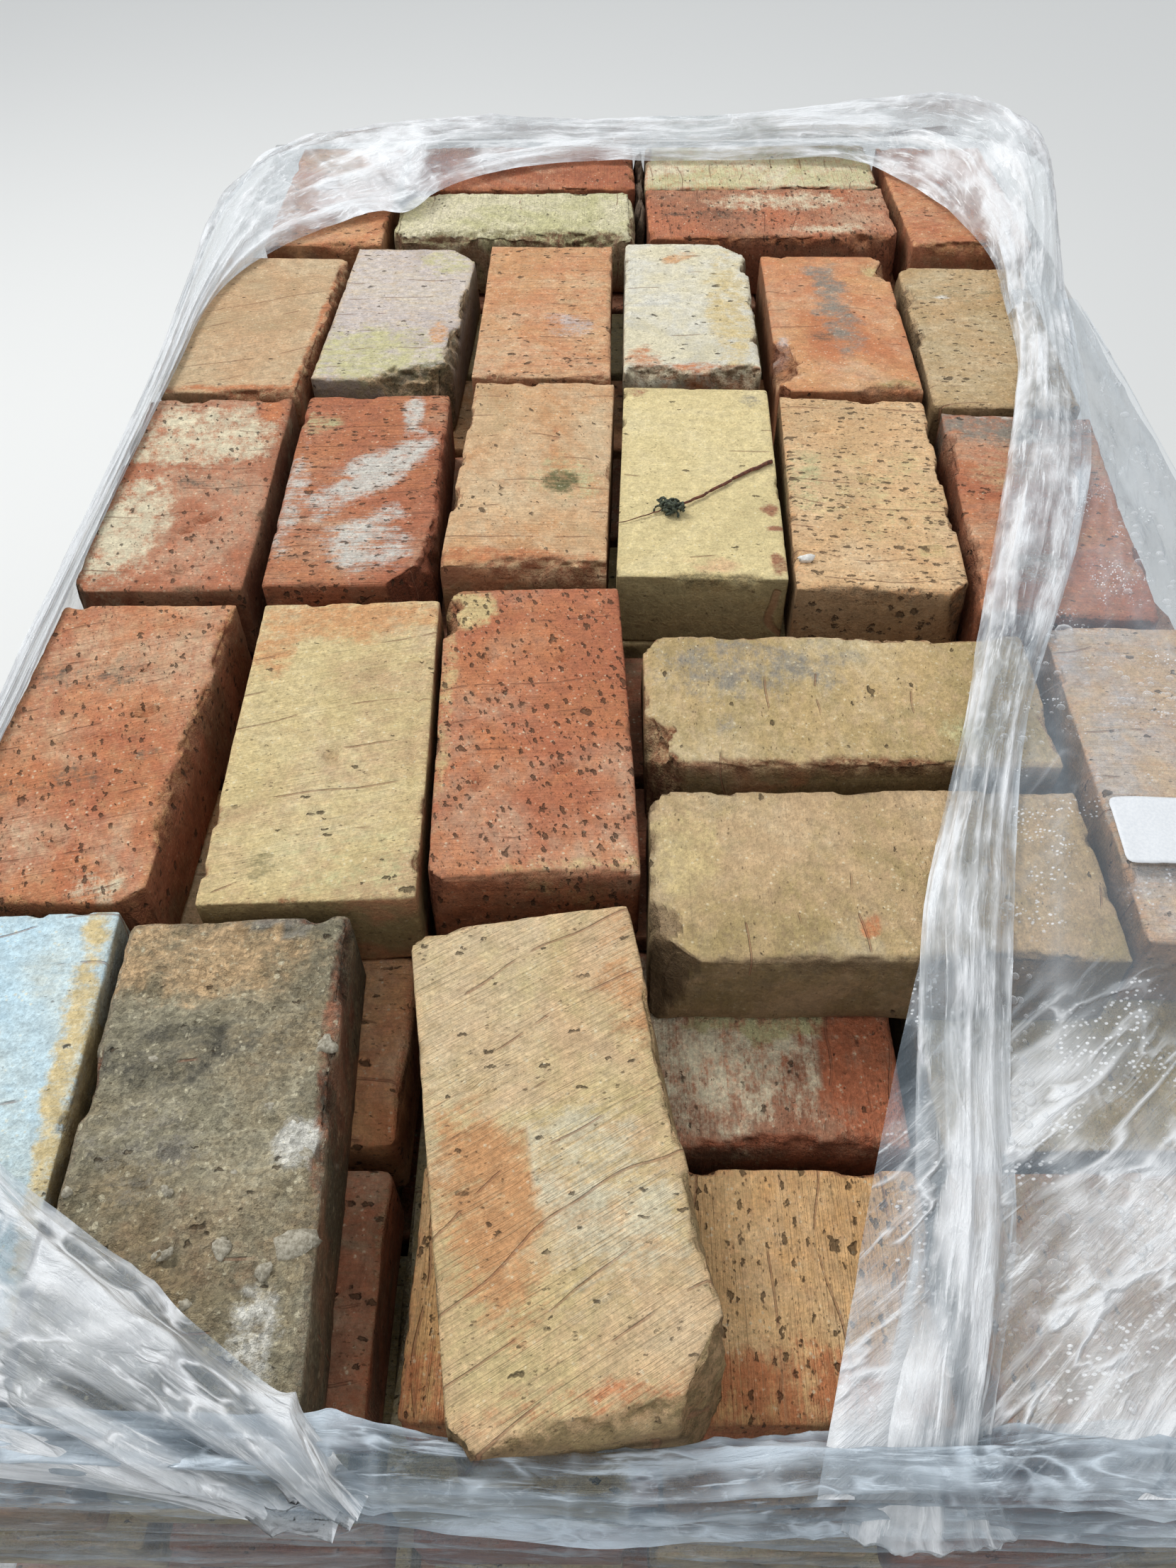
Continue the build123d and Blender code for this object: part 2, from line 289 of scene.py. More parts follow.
def clay_group():
    """Fired clay: clouds of three colours, grit, pits, drag marks, stains, broken faces and dirt, with
    painted shade in the pits and on all that doesn't look up.
    """
    tree = bpy.data.node_groups.new("clay", "ShaderNodeTree")
    given = clay_inputs(tree)
    pits, strokes, sand = (given[name] for name in CLAY_AMOUNTS)

    here = mapped(own_place(tree), Location=given["shift"])
    pit_way = mapped(here, Rotation=given["pit_turn"])
    stroke_way = mapped(here, Rotation=given["stroke_turn"])
    long_way = mapped(stroke_way, Scale=(0.22, 13, 1))
    cloud = noise(here, 15, 4, 0.7, 0.6)
    mottle = noise(mapped(pit_way, Scale=(1, 1.7, 1)), 90, 5, 0.78)
    grit = noise(here, 560, 3, 0.78)
    coarse = noise(here, 150, 4, 0.76)
    stroke = noise(long_way, 56, 3, 0.7)
    haze = noise(here, 9, 4, 0.66, 0.8)

    colour = mix(step(cloud, 0.36, 0.64), given["main"], given["second"])
    colour = mix(step(mottle, 0.45, 0.7, 0, 0.6), colour, given["third"])
    bloom = step(haze, 0.42, 0.72, 0.05, 0.45) * step(mottle, 0.34, 0.6, 0.5, 1.0)
    colour = mix(bloom, colour, linear(CREAM))
    dim = step(haze, 0.3, 0.48, 0.4, 0) * step(coarse, 0.36, 0.6)
    colour = mix(dim, colour, given["dirt"])
    patch = stored(tree, "patch", 0)
    strength = stored(tree, "patch", 3)
    ragged = (noise(here, 48, 5, 0.8) - 0.5) * 2.0 + strength
    ragged = (mottle - 0.5) * 1.4 + ragged
    streaky = (stroke - 0.5) * 2.4
    ragged = streaky * strokes + ragged
    patch_here = step(ragged, 0.12, 0.86, 0, 0.95) * step(strength, 0.02, 0.3)
    colour = mix(patch_here, colour, patch)
    fleck = step(cells(here, 300), 0.14, 0.32, 1.0, 0.0) * step(coarse, 0.48, 0.62)
    colour = mix(fleck * 0.6, colour, linear(CREAM))
    line = step(stroke, 0.5, 0.74) * (strokes * 0.5 + 0.2)
    colour = mix(line, colour, given["mark"])

    colour, fresh = with_breaks(tree, colour, given, coarse, cloud)
    colour = with_grains(tree, colour, here, coarse, sand)
    # Painted shade on every face that doesn't look up.
    colour = with_side_shade(tree, colour, given, cloud)
    shade = step(grit, 0.28, 0.72, 0.84, 1.18) * step(coarse, 0.3, 0.7, 0.84, 1.18)
    colour = mix(1.0, colour, grey_scale(shade), "MULTIPLY")
    large = pits_of(pit_way, 62, 0.22, pits * 0.7, 30)
    middling = pits_of(pit_way, 125, 0.3, pits, 50)
    small = pits_of(pit_way, 320, 0.34, pits * 0.6 + 0.2, 70)
    deep = calc("MAXIMUM", large, middling)
    dark = calc("MAXIMUM", deep, small * 0.8)
    # Painted shade in the pits: the holes are darkened in colour as well as sunk in the bump.
    colour = mix(dark * 0.74, colour, linear("43321f"))
    scratch = scratches(stroke_way, strokes)
    colour = mix(scratch * 0.5, colour, linear(BROWN_RED))

    height = grit * (sand * 0.5 + 0.3)
    rough = sand * 1.5 + fresh * 1.5 + 0.6
    height = coarse * rough + height
    height = stroke * (strokes * 1.6) + height
    height = deep * -1.6 + height
    height = scratch * -0.5 + height
    feed(tree.nodes.new("NodeGroupOutput"), {"colour": colour, "height": height})
    return tree


CLAY = clay_group()


def brick_material(name, main, second, third, seed, pits=0.5, pit_turn=0.0, strokes=0.3, stroke_turn=0.0,
                   side=None, sand=0.0):
    """One brick's clay: the common one with its own colours and amounts."""
    material, tree, shader = new_material(name)
    clay = tree.nodes.new("ShaderNodeGroup")
    clay.node_tree = CLAY
    reddish = main in REDS
    mark = third if strokes < 0.35 else BROWN_RED if reddish else TAN
    colours = (main, second, third, side or second, DARK_RED if reddish else OLIVE_DARK, mark)
    feed(clay, dict(zip(CLAY_COLOURS, map(linear, colours))))
    feed(clay, dict(zip(CLAY_AMOUNTS, (pits, strokes, sand))))
    feed(clay, {
        "shift": (seed * 0.37, seed * 0.61, seed * 0.23),
        "pit_turn": (0, 0, math.radians(pit_turn)),
        "stroke_turn": (0, 0, math.radians(stroke_turn)),
    })
    feed(shader, {
        "Base Color": Wire(clay.outputs["colour"]),
        "Roughness": 0.88,
        "Specular IOR Level": 0.3,
        "Normal": bump(Wire(clay.outputs["height"]), 0.9, 0.003),
    })
    return material


# Meshes

def turned(points, turn):
    """Points turned about Z."""
    cos, sin = math.cos(turn), math.sin(turn)
    x, y = points[:, 0], points[:, 1]
    return np.column_stack([x * cos - y * sin, x * sin + y * cos, points[:, 2:]])


def grid_faces(rows, columns):
    """The faces of a grid of points."""
    corners = [row * columns + column for row in range(rows - 1) for column in range(columns - 1)]
    return [(corner, corner + 1, corner + columns + 1, corner + columns) for corner in corners]


def belts(rings, sides):
    """The faces between rings of points, one above the other."""
    faces = []
    for ring, side in product(range(rings - 1), range(sides)):
        here, after = ring * sides + side, ring * sides + (side + 1) % sides
        faces.append((here, after, after + sides, here + sides))
    return faces


def joined(parts):
    """Many parts' points and faces as one."""
    points, faces = [], []
    for own_points, own_faces in parts:
        start = len(points)
        points += [tuple(point) for point in own_points]
        faces += [tuple(start + corner for corner in face) for face in own_faces]
    return points, faces


def mesh_object(name, points, faces, material, smooth=True):
    """A new object from points and faces."""
    mesh = bpy.data.meshes.new(name)
    mesh.from_pydata([tuple(point) for point in points], [], faces)
    mesh.materials.append(material)
    mesh.polygons.foreach_set("use_smooth", [smooth] * len(mesh.polygons))
    made = bpy.data.objects.new(name, mesh)
    bpy.context.scene.collection.objects.link(made)
    return made


def loose(name, parts, material):
    """Small parts on the body that stand for nothing in the frame."""
    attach(mesh_object(name, *joined(parts), material), BODY)


def dress(piece, slot, *nodes):
    """Ties a piece to the body and lets it stand for CAD nodes, which it hides; slot is not used."""
    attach(piece, BODY)
    if nodes:
        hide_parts(*nodes)
    return piece


def paint(mesh, name, kind, values):
    """Stores a value, a colour or a place at each point of a mesh."""
    layer = mesh.attributes.new(name, kind, "POINT")
    field = {"FLOAT": "value", "FLOAT_COLOR": "color", "FLOAT_VECTOR": "vector"}[kind]
    layer.data.foreach_set(field, np.asarray(values, np.float32).ravel())


def graded(length, spacing, border):
    """Places along a side: close to its ends as border says, and evenly spaced between them."""
    half = length / 2
    ends = [half - gap for gap in border[:-1]]
    reach = half - border[-1]
    count = max(round(2 * reach / spacing), 1) + 1
    return np.concatenate([[-end for end in ends], np.linspace(-reach, reach, count), ends[::-1]])


def block_grid(size, spacing, border):
    """Points and faces of a block whose top and sides are fine grids and whose foot is one face."""
    xs, ys, zs = (graded(length, gap, border) for length, gap in zip(size, spacing))
    count_x, count_y = len(xs), len(ys)
    points = [(x, y, zs[-1]) for y in ys for x in xs]
    faces = grid_faces(count_y, count_x)
    ring = list(range(count_x))
    ring += [row * count_x + count_x - 1 for row in range(1, count_y)]
    ring += [(count_y - 1) * count_x + column for column in range(count_x - 2, -1, -1)]
    ring += [row * count_x for row in range(count_y - 2, 0, -1)]
    upper = ring
    for z in zs[-2::-1]:
        lower = [len(points) + place for place in range(len(ring))]
        points += [(points[place][0], points[place][1], z) for place in ring]
        for place in range(len(ring)):
            after = (place + 1) % len(ring)
            faces.append((upper[place], lower[place], lower[after], upper[after]))
        upper = lower
    faces.append(tuple(reversed(upper)))
    return np.array(points), faces


def rounded(points, half, radius):
    """Rounds the block's edges by a radius that may differ from point to point."""
    radius = np.minimum(radius, half.min())[:, None]
    core = half - radius
    beyond = np.maximum(np.abs(points) - core, 0)
    reach = np.linalg.norm(beyond, axis=1)[:, None]
    shrink = np.where(reach > radius, radius / np.maximum(reach, 1e-9), 1.0)
    return np.sign(points) * (np.minimum(np.abs(points), core) + beyond * shrink)


def edge_gap(points, half):
    """How far each point of the block's surface lies from the nearest edge."""
    return np.sort(half - np.abs(points), axis=1)[:, 1]


def cut(points, normal, limit):
    """Moves what lies past a plane or rough surface back onto it, and says how far it moved."""
    over = np.maximum(points @ normal - limit, 0)
    return points - over[:, None] * normal, over


SIDES = {"right": (1, 0), "left": (-1, 0), "back": (0, 1), "front": (0, -1)}


def bitten(points, half, bites, seed):
    """Chips off the top edges: side, place along it, reach and depth."""
    moved = np.zeros(len(points))
    rough = layered(points, 9 * MM, seed, 3)
    for side, along, reach, depth in bites:
        out = np.array(SIDES[side], float)
        normal = np.array([*out, 0.8])
        normal /= np.linalg.norm(normal)
        edge = np.array([*(out * half[:2]), half[2]])
        track = points[:, 1] if out[0] else points[:, 0]
        share = np.clip(1 - ((track - along * MM) / (reach * MM)) ** 2 + 0.15 * rough, 0, 1)
        limit = edge @ normal - depth * MM * np.sqrt(share) * (1 + 0.3 * rough)
        limit = np.where(share > 0, limit, 9.0)
        points, over = cut(points, normal, limit)
        moved += over
    return points, moved


def broken(points, half, breaks, seed):
    """Corners broken off through the whole height: side along X, side along Y and the legs' length."""
    moved = np.zeros(len(points))
    for side_x, side_y, leg in breaks:
        normal = np.array([side_x, side_y, 0.25])
        normal /= np.linalg.norm(normal)
        edge = np.array([side_x * half[0], side_y * half[1] - side_y * leg, half[2]])
        rough = layered(points, 22 * MM, seed, 4)
        points, over = cut(points, normal, edge @ normal + 2.2 * MM * rough)
        moved += over
    return points, moved


def chance_bites(size, seed, wear):
    """Small chips along the edges, more and deeper on a worn brick."""
    dice = random.Random(seed)
    chips = []
    for _ in range(round(5 + 2.5 * wear)):
        side = dice.choice(list(SIDES))
        along = dice.uniform(-1, 1) * (size[1] / 2 if SIDES[side][0] else size[0] / 2) / MM
        chips.append((side, along, dice.uniform(4, 7 + 3 * wear), dice.uniform(1.2, 1.6 + 1.1 * wear)))
    return chips


def oval(points, x, y, wide, long, turn):
    """How far out each point lies in an oval mark, squared: one at the rim."""
    offset = turned(points[:, :2] - np.array([x, y]) * MM, -math.radians(turn))
    return ((offset / (np.array([wide, long]) * MM)) ** 2).sum(1)


def brick_shape(size, breaks, seed, spacing, border, wear=2.0, relief=0.5, bites=(), holes=(), crust=0.0):
    """A worn brick about its own middle: points, faces, edge wear, broken faces and hollows."""
    points, faces = block_grid(size, spacing, border)
    half = np.array(size) / 2
    near = edge_gap(points, half)
    shifted = points + seed * 3.7
    uneven = layered(shifted, 26 * MM, seed, 3)
    fine = layered(shifted, 7 * MM, seed + 5, 2)
    points = rounded(points, half, wear * MM * np.clip(1.1 + 1.1 * uneven + 0.8 * fine, 0.3, 4))
    points, chipped = bitten(points, half, list(bites) + chance_bites(size, seed, wear), seed)
    points, torn = broken(points, half, breaks, seed)
    sunk = np.clip(uneven * 0.5 + fine * 0.35, -1, 0.6) - 0.6
    inward = points / half
    inward = np.where(np.abs(inward) > 0.93, np.sign(inward), 0)
    bowed = np.clip(ripple(shifted, 90 * MM, seed + 9) - 0.6, -1.6, 0)
    sideways = inward * np.array([1, 1, 0.25])
    points = points + inward * (relief * MM * sunk)[:, None] + sideways * (0.5 * wear * MM * bowed)[:, None]
    if crust:
        lumps = 0.6 * layered(shifted, 24 * MM, seed + 21, 3) + 0.5 * layered(shifted, 7 * MM, seed + 22, 2)
        spread = np.clip(near / (9 * MM), 0.15, 1) * (points[:, 2] > half[2] * 0.7)
        points[:, 2] += crust * MM * np.clip(0.35 + lumps, -0.25, 1) * spread
    for x, y, wide, long, turn, depth in holes:
        bowl = np.clip(1 - oval(points, x, y, wide, long, turn) * (1 + 0.35 * fine), 0, 1)
        points[:, 2] -= np.where(points[:, 2] > half[2] * 0.8, depth * MM * bowl ** 0.6, 0)
    fresh = np.clip((chipped + torn) / (1.5 * MM), 0, 1)
    return points, faces, near, fresh


def painted(points, half, patches, seed):
    """Stains on a brick: colour, place, radii, turn and strength, blended where they meet."""
    colours = np.tile([0.5, 0.4, 0.3, 0.0], (len(points), 1))
    warp = layered(points, 18 * MM, seed + 11, 3) * 0.28
    for colour, x, y, wide, long, turn, cover in patches:
        share = np.clip(1.5 - np.sqrt(oval(points, x, y, wide, long, turn)) + warp, 0, 0.85) * cover
        share = np.where(points[:, 2] > -half[2] * 0.2, share, share * 0.5)
        over = share > colours[:, 3]
        colours[over, :3] = linear(colour)[:3]
        colours[:, 3] = np.maximum(colours[:, 3], share)
    return colours


# Bricks of the frame

def level_length(edge):
    """An edge's length where it is level and bent, none where it isn't."""
    one, other = (vertex.co.z for vertex in edge.verts)
    bent = len(edge.link_faces) == 2 and edge.calc_face_angle(0) > 0.3
    return -1 if abs(one - other) >= MM else edge.calc_length() if bent else 0


def islands(node_name):
    """The points of each separate solid of a CAD node."""
    work = bmesh.new()
    work.from_mesh(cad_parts[node_name].data)
    bmesh.ops.remove_doubles(work, verts=work.verts, dist=0.01 * MM)
    work.verts.ensure_lookup_table()
    seen = set()
    found = []
    for start in work.verts:
        if start.index in seen:
            continue
        group, queue = [], [start]
        seen.add(start.index)
        while queue:
            vertex = queue.pop()
            group.append(vertex)
            for edge in vertex.link_edges:
                other = edge.other_vert(vertex)
                if other.index not in seen:
                    seen.add(other.index)
                    queue.append(other)
        longest = max((edge for vertex in group for edge in vertex.link_edges), key=level_length)
        along = longest.verts[1].co - longest.verts[0].co
        found.append((np.array([vertex.co[:] for vertex in group]), math.atan2(along.y, along.x)))
    work.free()
    return found


class Brick:
    """A brick as it lies in the frame: middle, turn, size and the corners broken off it."""

    def __init__(self, points, heading):
        turn = heading - math.pi / 2
        while turn > math.pi / 2 + 0.01:
            turn -= math.pi
        while turn < -math.pi / 2 + 0.01:
            turn += math.pi
        self.turn = turn
        local = turned(points, -turn)
        low, high = local.min(0), local.max(0)
        middle = (low + high) / 2
        self.size = tuple(high - low)
        self.middle = Vector(turned(middle[None], turn)[0])
        self.breaks = []
        flat = (local - middle)[:, :2]
        for side_x, side_y in product((-1, 1), repeat=2):
            corner = np.array([side_x, side_y]) * (high - low)[:2] / 2
            leg = np.linalg.norm(flat - corner, axis=1).min()
            if leg > 8 * MM:
                self.breaks.append((side_x, side_y, leg))

    def outermost(self):
        """Whether it shows at a side of the stack."""
        cos, sin = abs(math.cos(self.turn)), abs(math.sin(self.turn))
        reach_x = abs(self.middle.x) + (self.size[0] * cos + self.size[1] * sin) / 2
        reach_y = abs(self.middle.y) + (self.size[0] * sin + self.size[1] * cos) / 2
        return reach_x > WALL_HIGH.x - SIDE_DEPTH or reach_y > WALL_HIGH.y - SIDE_DEPTH


def bricks_of(node_name):
    return [Brick(points, heading) for points, heading in islands(node_name)]


FINE_BORDER = (0, 1.2 * MM, 3.0 * MM)
FINE_STEP = (2.7 * MM, 2.7 * MM, 8 * MM)
PLAIN_BORDER = (0, 2.0 * MM, 6.0 * MM)
PLAIN_STEP = (26 * MM, 26 * MM, 26 * MM)
HIDDEN_STEP = (90 * MM, 90 * MM, 60 * MM)
EDGE_REACH = 6 * MM
SIDE_DEPTH = 60 * MM


def brick_piece(name, points, faces, materials, near, fresh, stains, node_name):
    """A piece of brickwork with what its clay reads at each point."""
    piece = mesh_object(name, points, faces, materials[0])
    for material in materials[1:]:
        piece.data.materials.append(material)
    paint(piece.data, "fresh", "FLOAT", fresh)
    paint(piece.data, "edge", "FLOAT", np.clip(1 - near / EDGE_REACH, 0, 1))
    paint(piece.data, "patch", "FLOAT_COLOR", stains)
    return dress(piece, "brick_top" if node_name == TOP_LAYER else "brick", node_name)


def fine_brick(look, brick, node_name, seed):
    """A brick of its own with worn edges, chips, hollows and stains."""
    material = brick_material("clay_" + look.name, *look.colours, seed, **look.finish)
    shape = brick_shape(brick.size, brick.breaks, seed, FINE_STEP, FINE_BORDER, **look.shape)
    points, faces, near, fresh = shape
    stains = painted(points, np.array(brick.size) / 2, look.patches, seed)
    piece = brick_piece("brick_" + look.name, points, faces, [material], near, fresh, stains, node_name)
    piece.matrix_world = Matrix.Translation(brick.middle) @ Matrix.Rotation(brick.turn, 4, "Z")


class Look:
    """How one brick looks: its place on the plan in millimetres, its colours and its marks."""

    def __init__(self, name, x, y, main, second, third, patches=(), wear=2.0, relief=0.5, bites=(),
                 holes=(), crust=0.0, **finish):
        self.name, self.x, self.y = name, x * MM, y * MM
        self.colours = (main, second, third)
        self.patches = patches
        self.shape = {"wear": wear, "relief": relief, "bites": bites, "holes": holes, "crust": crust}
        self.finish = {"pits": 0.3, **finish}


# The bricks in sight. Marks are given across and along the brick from its middle. Bites: side,
# place, reach and depth. Holes: place, radii, turn and depth. Patches: colour, place, radii, turn
# and strength.
TOP_LOOKS = [
    Look("A1", -262, 486, RED_ORANGE, ORANGE, RED, pits=0.5, wear=2.5,
         bites=[("front", 20, 30, 5)]),
    Look("A2", -90, 436, LICHEN, CREAM, LICHEN, side=BROWN_RED, pits=0.3, wear=6, relief=1.6, sand=0.35,
         crust=1.5,
         bites=[("left", -60, 60, 12), ("left", 70, 40, 9)],
         patches=[(OLIVE_DARK, -45, 20, 14, 90, 0, 0.6)]),
    Look("A5", -90, 548, RED, DARK_RED, RED_ORANGE, side=DARK_RED, wear=4),
    Look("A3", 148, 437, RED, BROWN_RED, RED_ORANGE, side=DARK_RED, pits=0.8, wear=3,
         bites=[("left", 20, 60, 6), ("left", -80, 30, 9)],
         patches=[(CREAM, 25, -20, 20, 70, 0, 0.6), (SOOT, -5, 50, 10, 50, 0, 0.45),
                  (CREAM, -35, -60, 9, 40, 0, 0.6)]),
    Look("A6", 148, 548, LICHEN, CREAM, RED, side=DARK_RED, wear=4),
    Look("A4", 325, 481, RED_ORANGE, RED, ORANGE, side=RED, wear=3,
         bites=[("front", 0, 50, 7)]),
    Look("B1", -290, 231, "c9ad88", "c9a27a", TAN, side=RED, pits=0.15, strokes=0.5, stroke_turn=-20,
         wear=1.6,
         bites=[("right", 80, 60, 6), ("right", -60, 60, 5), ("front", 30, 40, 6)],
         patches=[(RED_ORANGE, 52, 0, 5, 120, 0, 0.9), (RED_ORANGE, 20, -108, 50, 6, 0, 0.8)]),
    Look("B2", -177, 250, PINK_GREY, PINK_GREY, TAN, side=OLIVE_DARK, pits=0.3, wear=2.5,
         bites=[("right", -60, 34, 8), ("front", 34, 34, 16), ("right", 20, 20, 5)],
         patches=[(LICHEN, -14, -72, 50, 40, 0, 0.7), (MOSS, 40, -100, 30, 14, 0, 0.6),
                  (ORANGE, 38, -40, 8, 16, 0, 0.6), (LICHEN, 30, 85, 22, 24, 0, 0.6)]),
    Look("B3", -54, 253, ORANGE, "ce8f64", PEACH, side=RED, pits=0.5, strokes=0.4, wear=2.2,
         patches=[(PEACH, 30, 20, 25, 50, 0, 0.45), (PINK_GREY, 20, -30, 20, 20, 0, 0.5)]),
    Look("B4", 64, 260, LIME_WHITE, CREAM, CREAM, side=BROWN, pits=0.3, wear=3, relief=0.9,
         bites=[("front", -30, 26, 8), ("front", 35, 22, 10), ("right", 70, 20, 7)],
         patches=[(STRAW, 36, -20, 18, 100, 0, 0.7), (ORANGE, -5, 85, 14, 8, 30, 0.8),
                  (RED_ORANGE, -40, -95, 14, 18, 0, 0.7), (RED_ORANGE, 10, -108, 60, 7, 0, 0.7),
                  (OLIVE_DARK, 48, -20, 7, 60, 0, 0.45)]),
    Look("B5", 184, 231, RED_ORANGE, ORANGE, RED_ORANGE, side=DARK_RED, pits=0.12, strokes=0.2, wear=1.6,
         bites=[("left", -70, 30, 13), ("right", 86, 18, 10), ("front", 30, 24, 7)],
         holes=[(44, 88, 16, 12, 30, 4)],
         patches=[(GREY, 0, 20, 16, 80, 4, 0.7), (DARK_GREY, -4, -30, 20, 10, 0, 0.5),
                  (STRAW, 44, 88, 12, 10, 0, 0.9), (PINK_GREY, -48, -50, 6, 14, 0, 0.8),
                  (OLIVE, 38, -106, 18, 8, 0, 0.7)]),
    Look("B6", 299, 208, "b3966a", "bf9a6c", TAN, side=BROWN, pits=0.6, wear=2.5, relief=0.8,
         bites=[("left", -10, 14, 7), ("left", 60, 20, 6)],
         patches=[(LIME_WHITE, -22, 58, 6, 3, 0, 1.0), (OLIVE_DARK, 0, 70, 40, 20, 0, 0.3)]),
    Look("C1", -292, -6, "a9694a", RED, BROWN_RED, side=BROWN, pits=0.5, pit_turn=70, wear=1.8,
         holes=[(18, -38, 9, 3.5, 30, 5), (6, -52, 6, 3, 30, 4), (10, -96, 6, 4, 0, 4)],
         patches=[(CREAM, -6, 66, 54, 40, 0, 0.75), (CREAM, -34, -50, 22, 56, 0, 0.8),
                  (DARK_GREY, 20, 0, 34, 9, -12, 0.3), (RED_ORANGE, 40, 96, 10, 16, 0, 0.8)]),
    Look("C2", -173, 0, RED, RED_ORANGE, DARK_RED, side=DARK_RED, pits=0.8, pit_turn=0, strokes=0.6,
         wear=2.6, relief=0.9,
         bites=[("right", -96, 50, 10), ("right", 0, 60, 4)],
         patches=[(LIME_WHITE, 8, 14, 17, 56, -38, 0.9), (LIME_WHITE, 8, -72, 26, 26, 0, 0.75),
                  (LIME_WHITE, 28, 88, 8, 26, 0, 0.8), (LICHEN, -42, 76, 14, 14, 0, 0.6),
                  (LIME_WHITE, -48, -20, 8, 60, 0, 0.6), (LIME_WHITE, 20, -40, 16, 12, 0, 0.6)]),
    Look("C3", -55, 18, PEACH, ORANGE, PEACH, side=RED, pits=0.3, strokes=0.5, pit_turn=60, wear=2.2,
         bites=[("front", 20, 44, 9), ("left", -40, 14, 6), ("left", 60, 20, 4)],
         patches=[(MOSS, 20, -18, 14, 15, 0, 0.8), (LICHEN, 22, -16, 26, 26, 0, 0.5),
                  (RED_ORANGE, -10, -104, 50, 9, 0, 0.8), (RED_ORANGE, 12, 30, 3, 20, 0, 0.5)]),
    Look("C4", 59, 7, PALE_YELLOW, PALE_YELLOW, STRAW, side=OLIVE_DARK, pits=0.1, strokes=0.15, wear=0.9,
         relief=0.25,
         bites=[("front", 6, 30, 4)],
         patches=[(BROWN_RED, 48, -42, 6, 6, 0, 0.9), (BROWN_RED, 49, -62, 6, 3, 0, 0.9),
                  (BROWN_RED, 50, -100, 5, 9, 0, 0.9), (GREY, 42, 98, 10, 8, 0, 0.6),
                  (BROWN_RED, -46, 108, 7, 6, 0, 0.8), (PEACH, 8, -102, 16, 7, 0, 0.8)]),
    Look("C5", 174, -7, "e2bd90", "dfb584", ORANGE, side=BROWN, pits=0.9, pit_turn=0, strokes=0.4,
         wear=2.2, relief=0.6,
         bites=[("right", 20, 16, 4), ("right", 70, 16, 4), ("right", -30, 12, 4), ("front", -20, 30, 4)],
         holes=[(-28, 70, 11, 3, 6, 4), (0, 8, 7, 3, 6, 4), (26, -40, 4, 3, 0, 4),
                (36, -70, 7, 3, 20, 3)],
         patches=[(LICHEN, -44, 10, 16, 34, 0, 0.6), (PALE_YELLOW, 10, -10, 60, 50, 0, 0.35),
                  (STRAW, 36, -72, 12, 8, 0, 0.6)]),
    Look("C6", 288, -31, RED, RED_ORANGE, BROWN_RED, side=DARK_RED, pits=0.4, wear=2.8,
         bites=[("left", 60, 30, 5), ("left", -60, 40, 5)],
         patches=[(GREY, -10, 96, 60, 20, 0, 0.75), (LIME_WHITE, -10, 110, 30, 6, 0, 0.6),
                  (LIME_WHITE, -14, -62, 20, 20, 0, 0.6), (TAN, -10, 40, 30, 30, 0, 0.5)]),
    Look("D1", -289, -248, RED_ORANGE, RED, ORANGE, side=RED, pits=0.7, pit_turn=70, strokes=0.4,
         stroke_turn=-15, wear=2.2,
         bites=[("right", 10, 40, 6), ("right", -40, 40, 7), ("right", 80, 30, 5)],
         holes=[(22, 20, 9, 4, 10, 5), (-8, -2, 26, 1.6, 12, 2.5), (10, 56, 6, 3, 0, 4),
                (0, -76, 6, 4, 20, 3)],
         patches=[(DARK_GREY, -16, 50, 40, 14, 10, 0.35), (DARK_GREY, -10, -30, 50, 10, 20, 0.32),
                  (CREAM, 30, -104, 14, 8, 0, 0.6)]),
    Look("D2", -158, -246, STRAW, TAN, PALE_YELLOW, side=RED, pits=0.25, strokes=0.3, stroke_turn=-12,
         wear=1.5, relief=0.4,
         holes=[(20, 46, 9, 8, 20, 2), (2, -18, 5, 6, 20, 4), (46, 10, 2, 70, 0, 2.0),
                (-4, 26, 70, 1.4, 5, 1.2)],
         patches=[(ORANGE, 0, 98, 56, 18, 0, 0.85), (ORANGE, -42, 70, 12, 20, 0, 0.7),
                  (OLIVE_DARK, -26, -92, 8, 8, 0, 0.6), (LICHEN, 20, -90, 40, 20, 0, 0.35)]),
    Look("D3", -46, -232, RED, RED_ORANGE, DARK_RED, side=DARK_RED, pits=1.0, pit_turn=70, wear=2.0,
         relief=0.7,
         bites=[("front", 0, 50, 4), ("left", 92, 20, 9)],
         holes=[(-26, 50, 4, 4, 0, 4), (18, 48, 4, 3, 0, 4), (16, -40, 8, 3, 10, 4),
                (-30, -50, 5, 4, 0, 4)],
         patches=[(STRAW, -42, 96, 16, 18, 0, 0.95), (STRAW, -50, 20, 5, 70, 0, 0.6),
                  (STRAW, 20, -108, 40, 6, 0, 0.5)]),
    # D4's grey patches on its far part are a painted shadow band.
    Look("D4", 130, -215, OLIVE, "bfa270", TAN, side=DARK_RED, pits=0.2, strokes=0.08, wear=3.0,
         relief=0.8,
         bites=[("left", 60, 50, 5), ("left", -10, 50, 6), ("back", -40, 24, 14), ("right", -60, 50, 6)],
         patches=[(GREY, 25, 50, 26, 56, 0, 0.6), (DARK_GREY, 20, 66, 12, 26, 0, 0.4),
                  (TAN, -15, -40, 22, 30, 0, 0.4), (LICHEN, -25, -60, 14, 16, 0, 0.5),
                  (GREY, -22, 70, 8, 8, 0, 0.5)]),
    Look("D5", 130, -340, OLIVE, TAN, BROWN, side=BROWN, pits=0.1, strokes=0.08, wear=2.4, relief=0.5,
         bites=[("left", -60, 34, 6), ("left", 20, 60, 4), ("back", -40, 20, 10)],
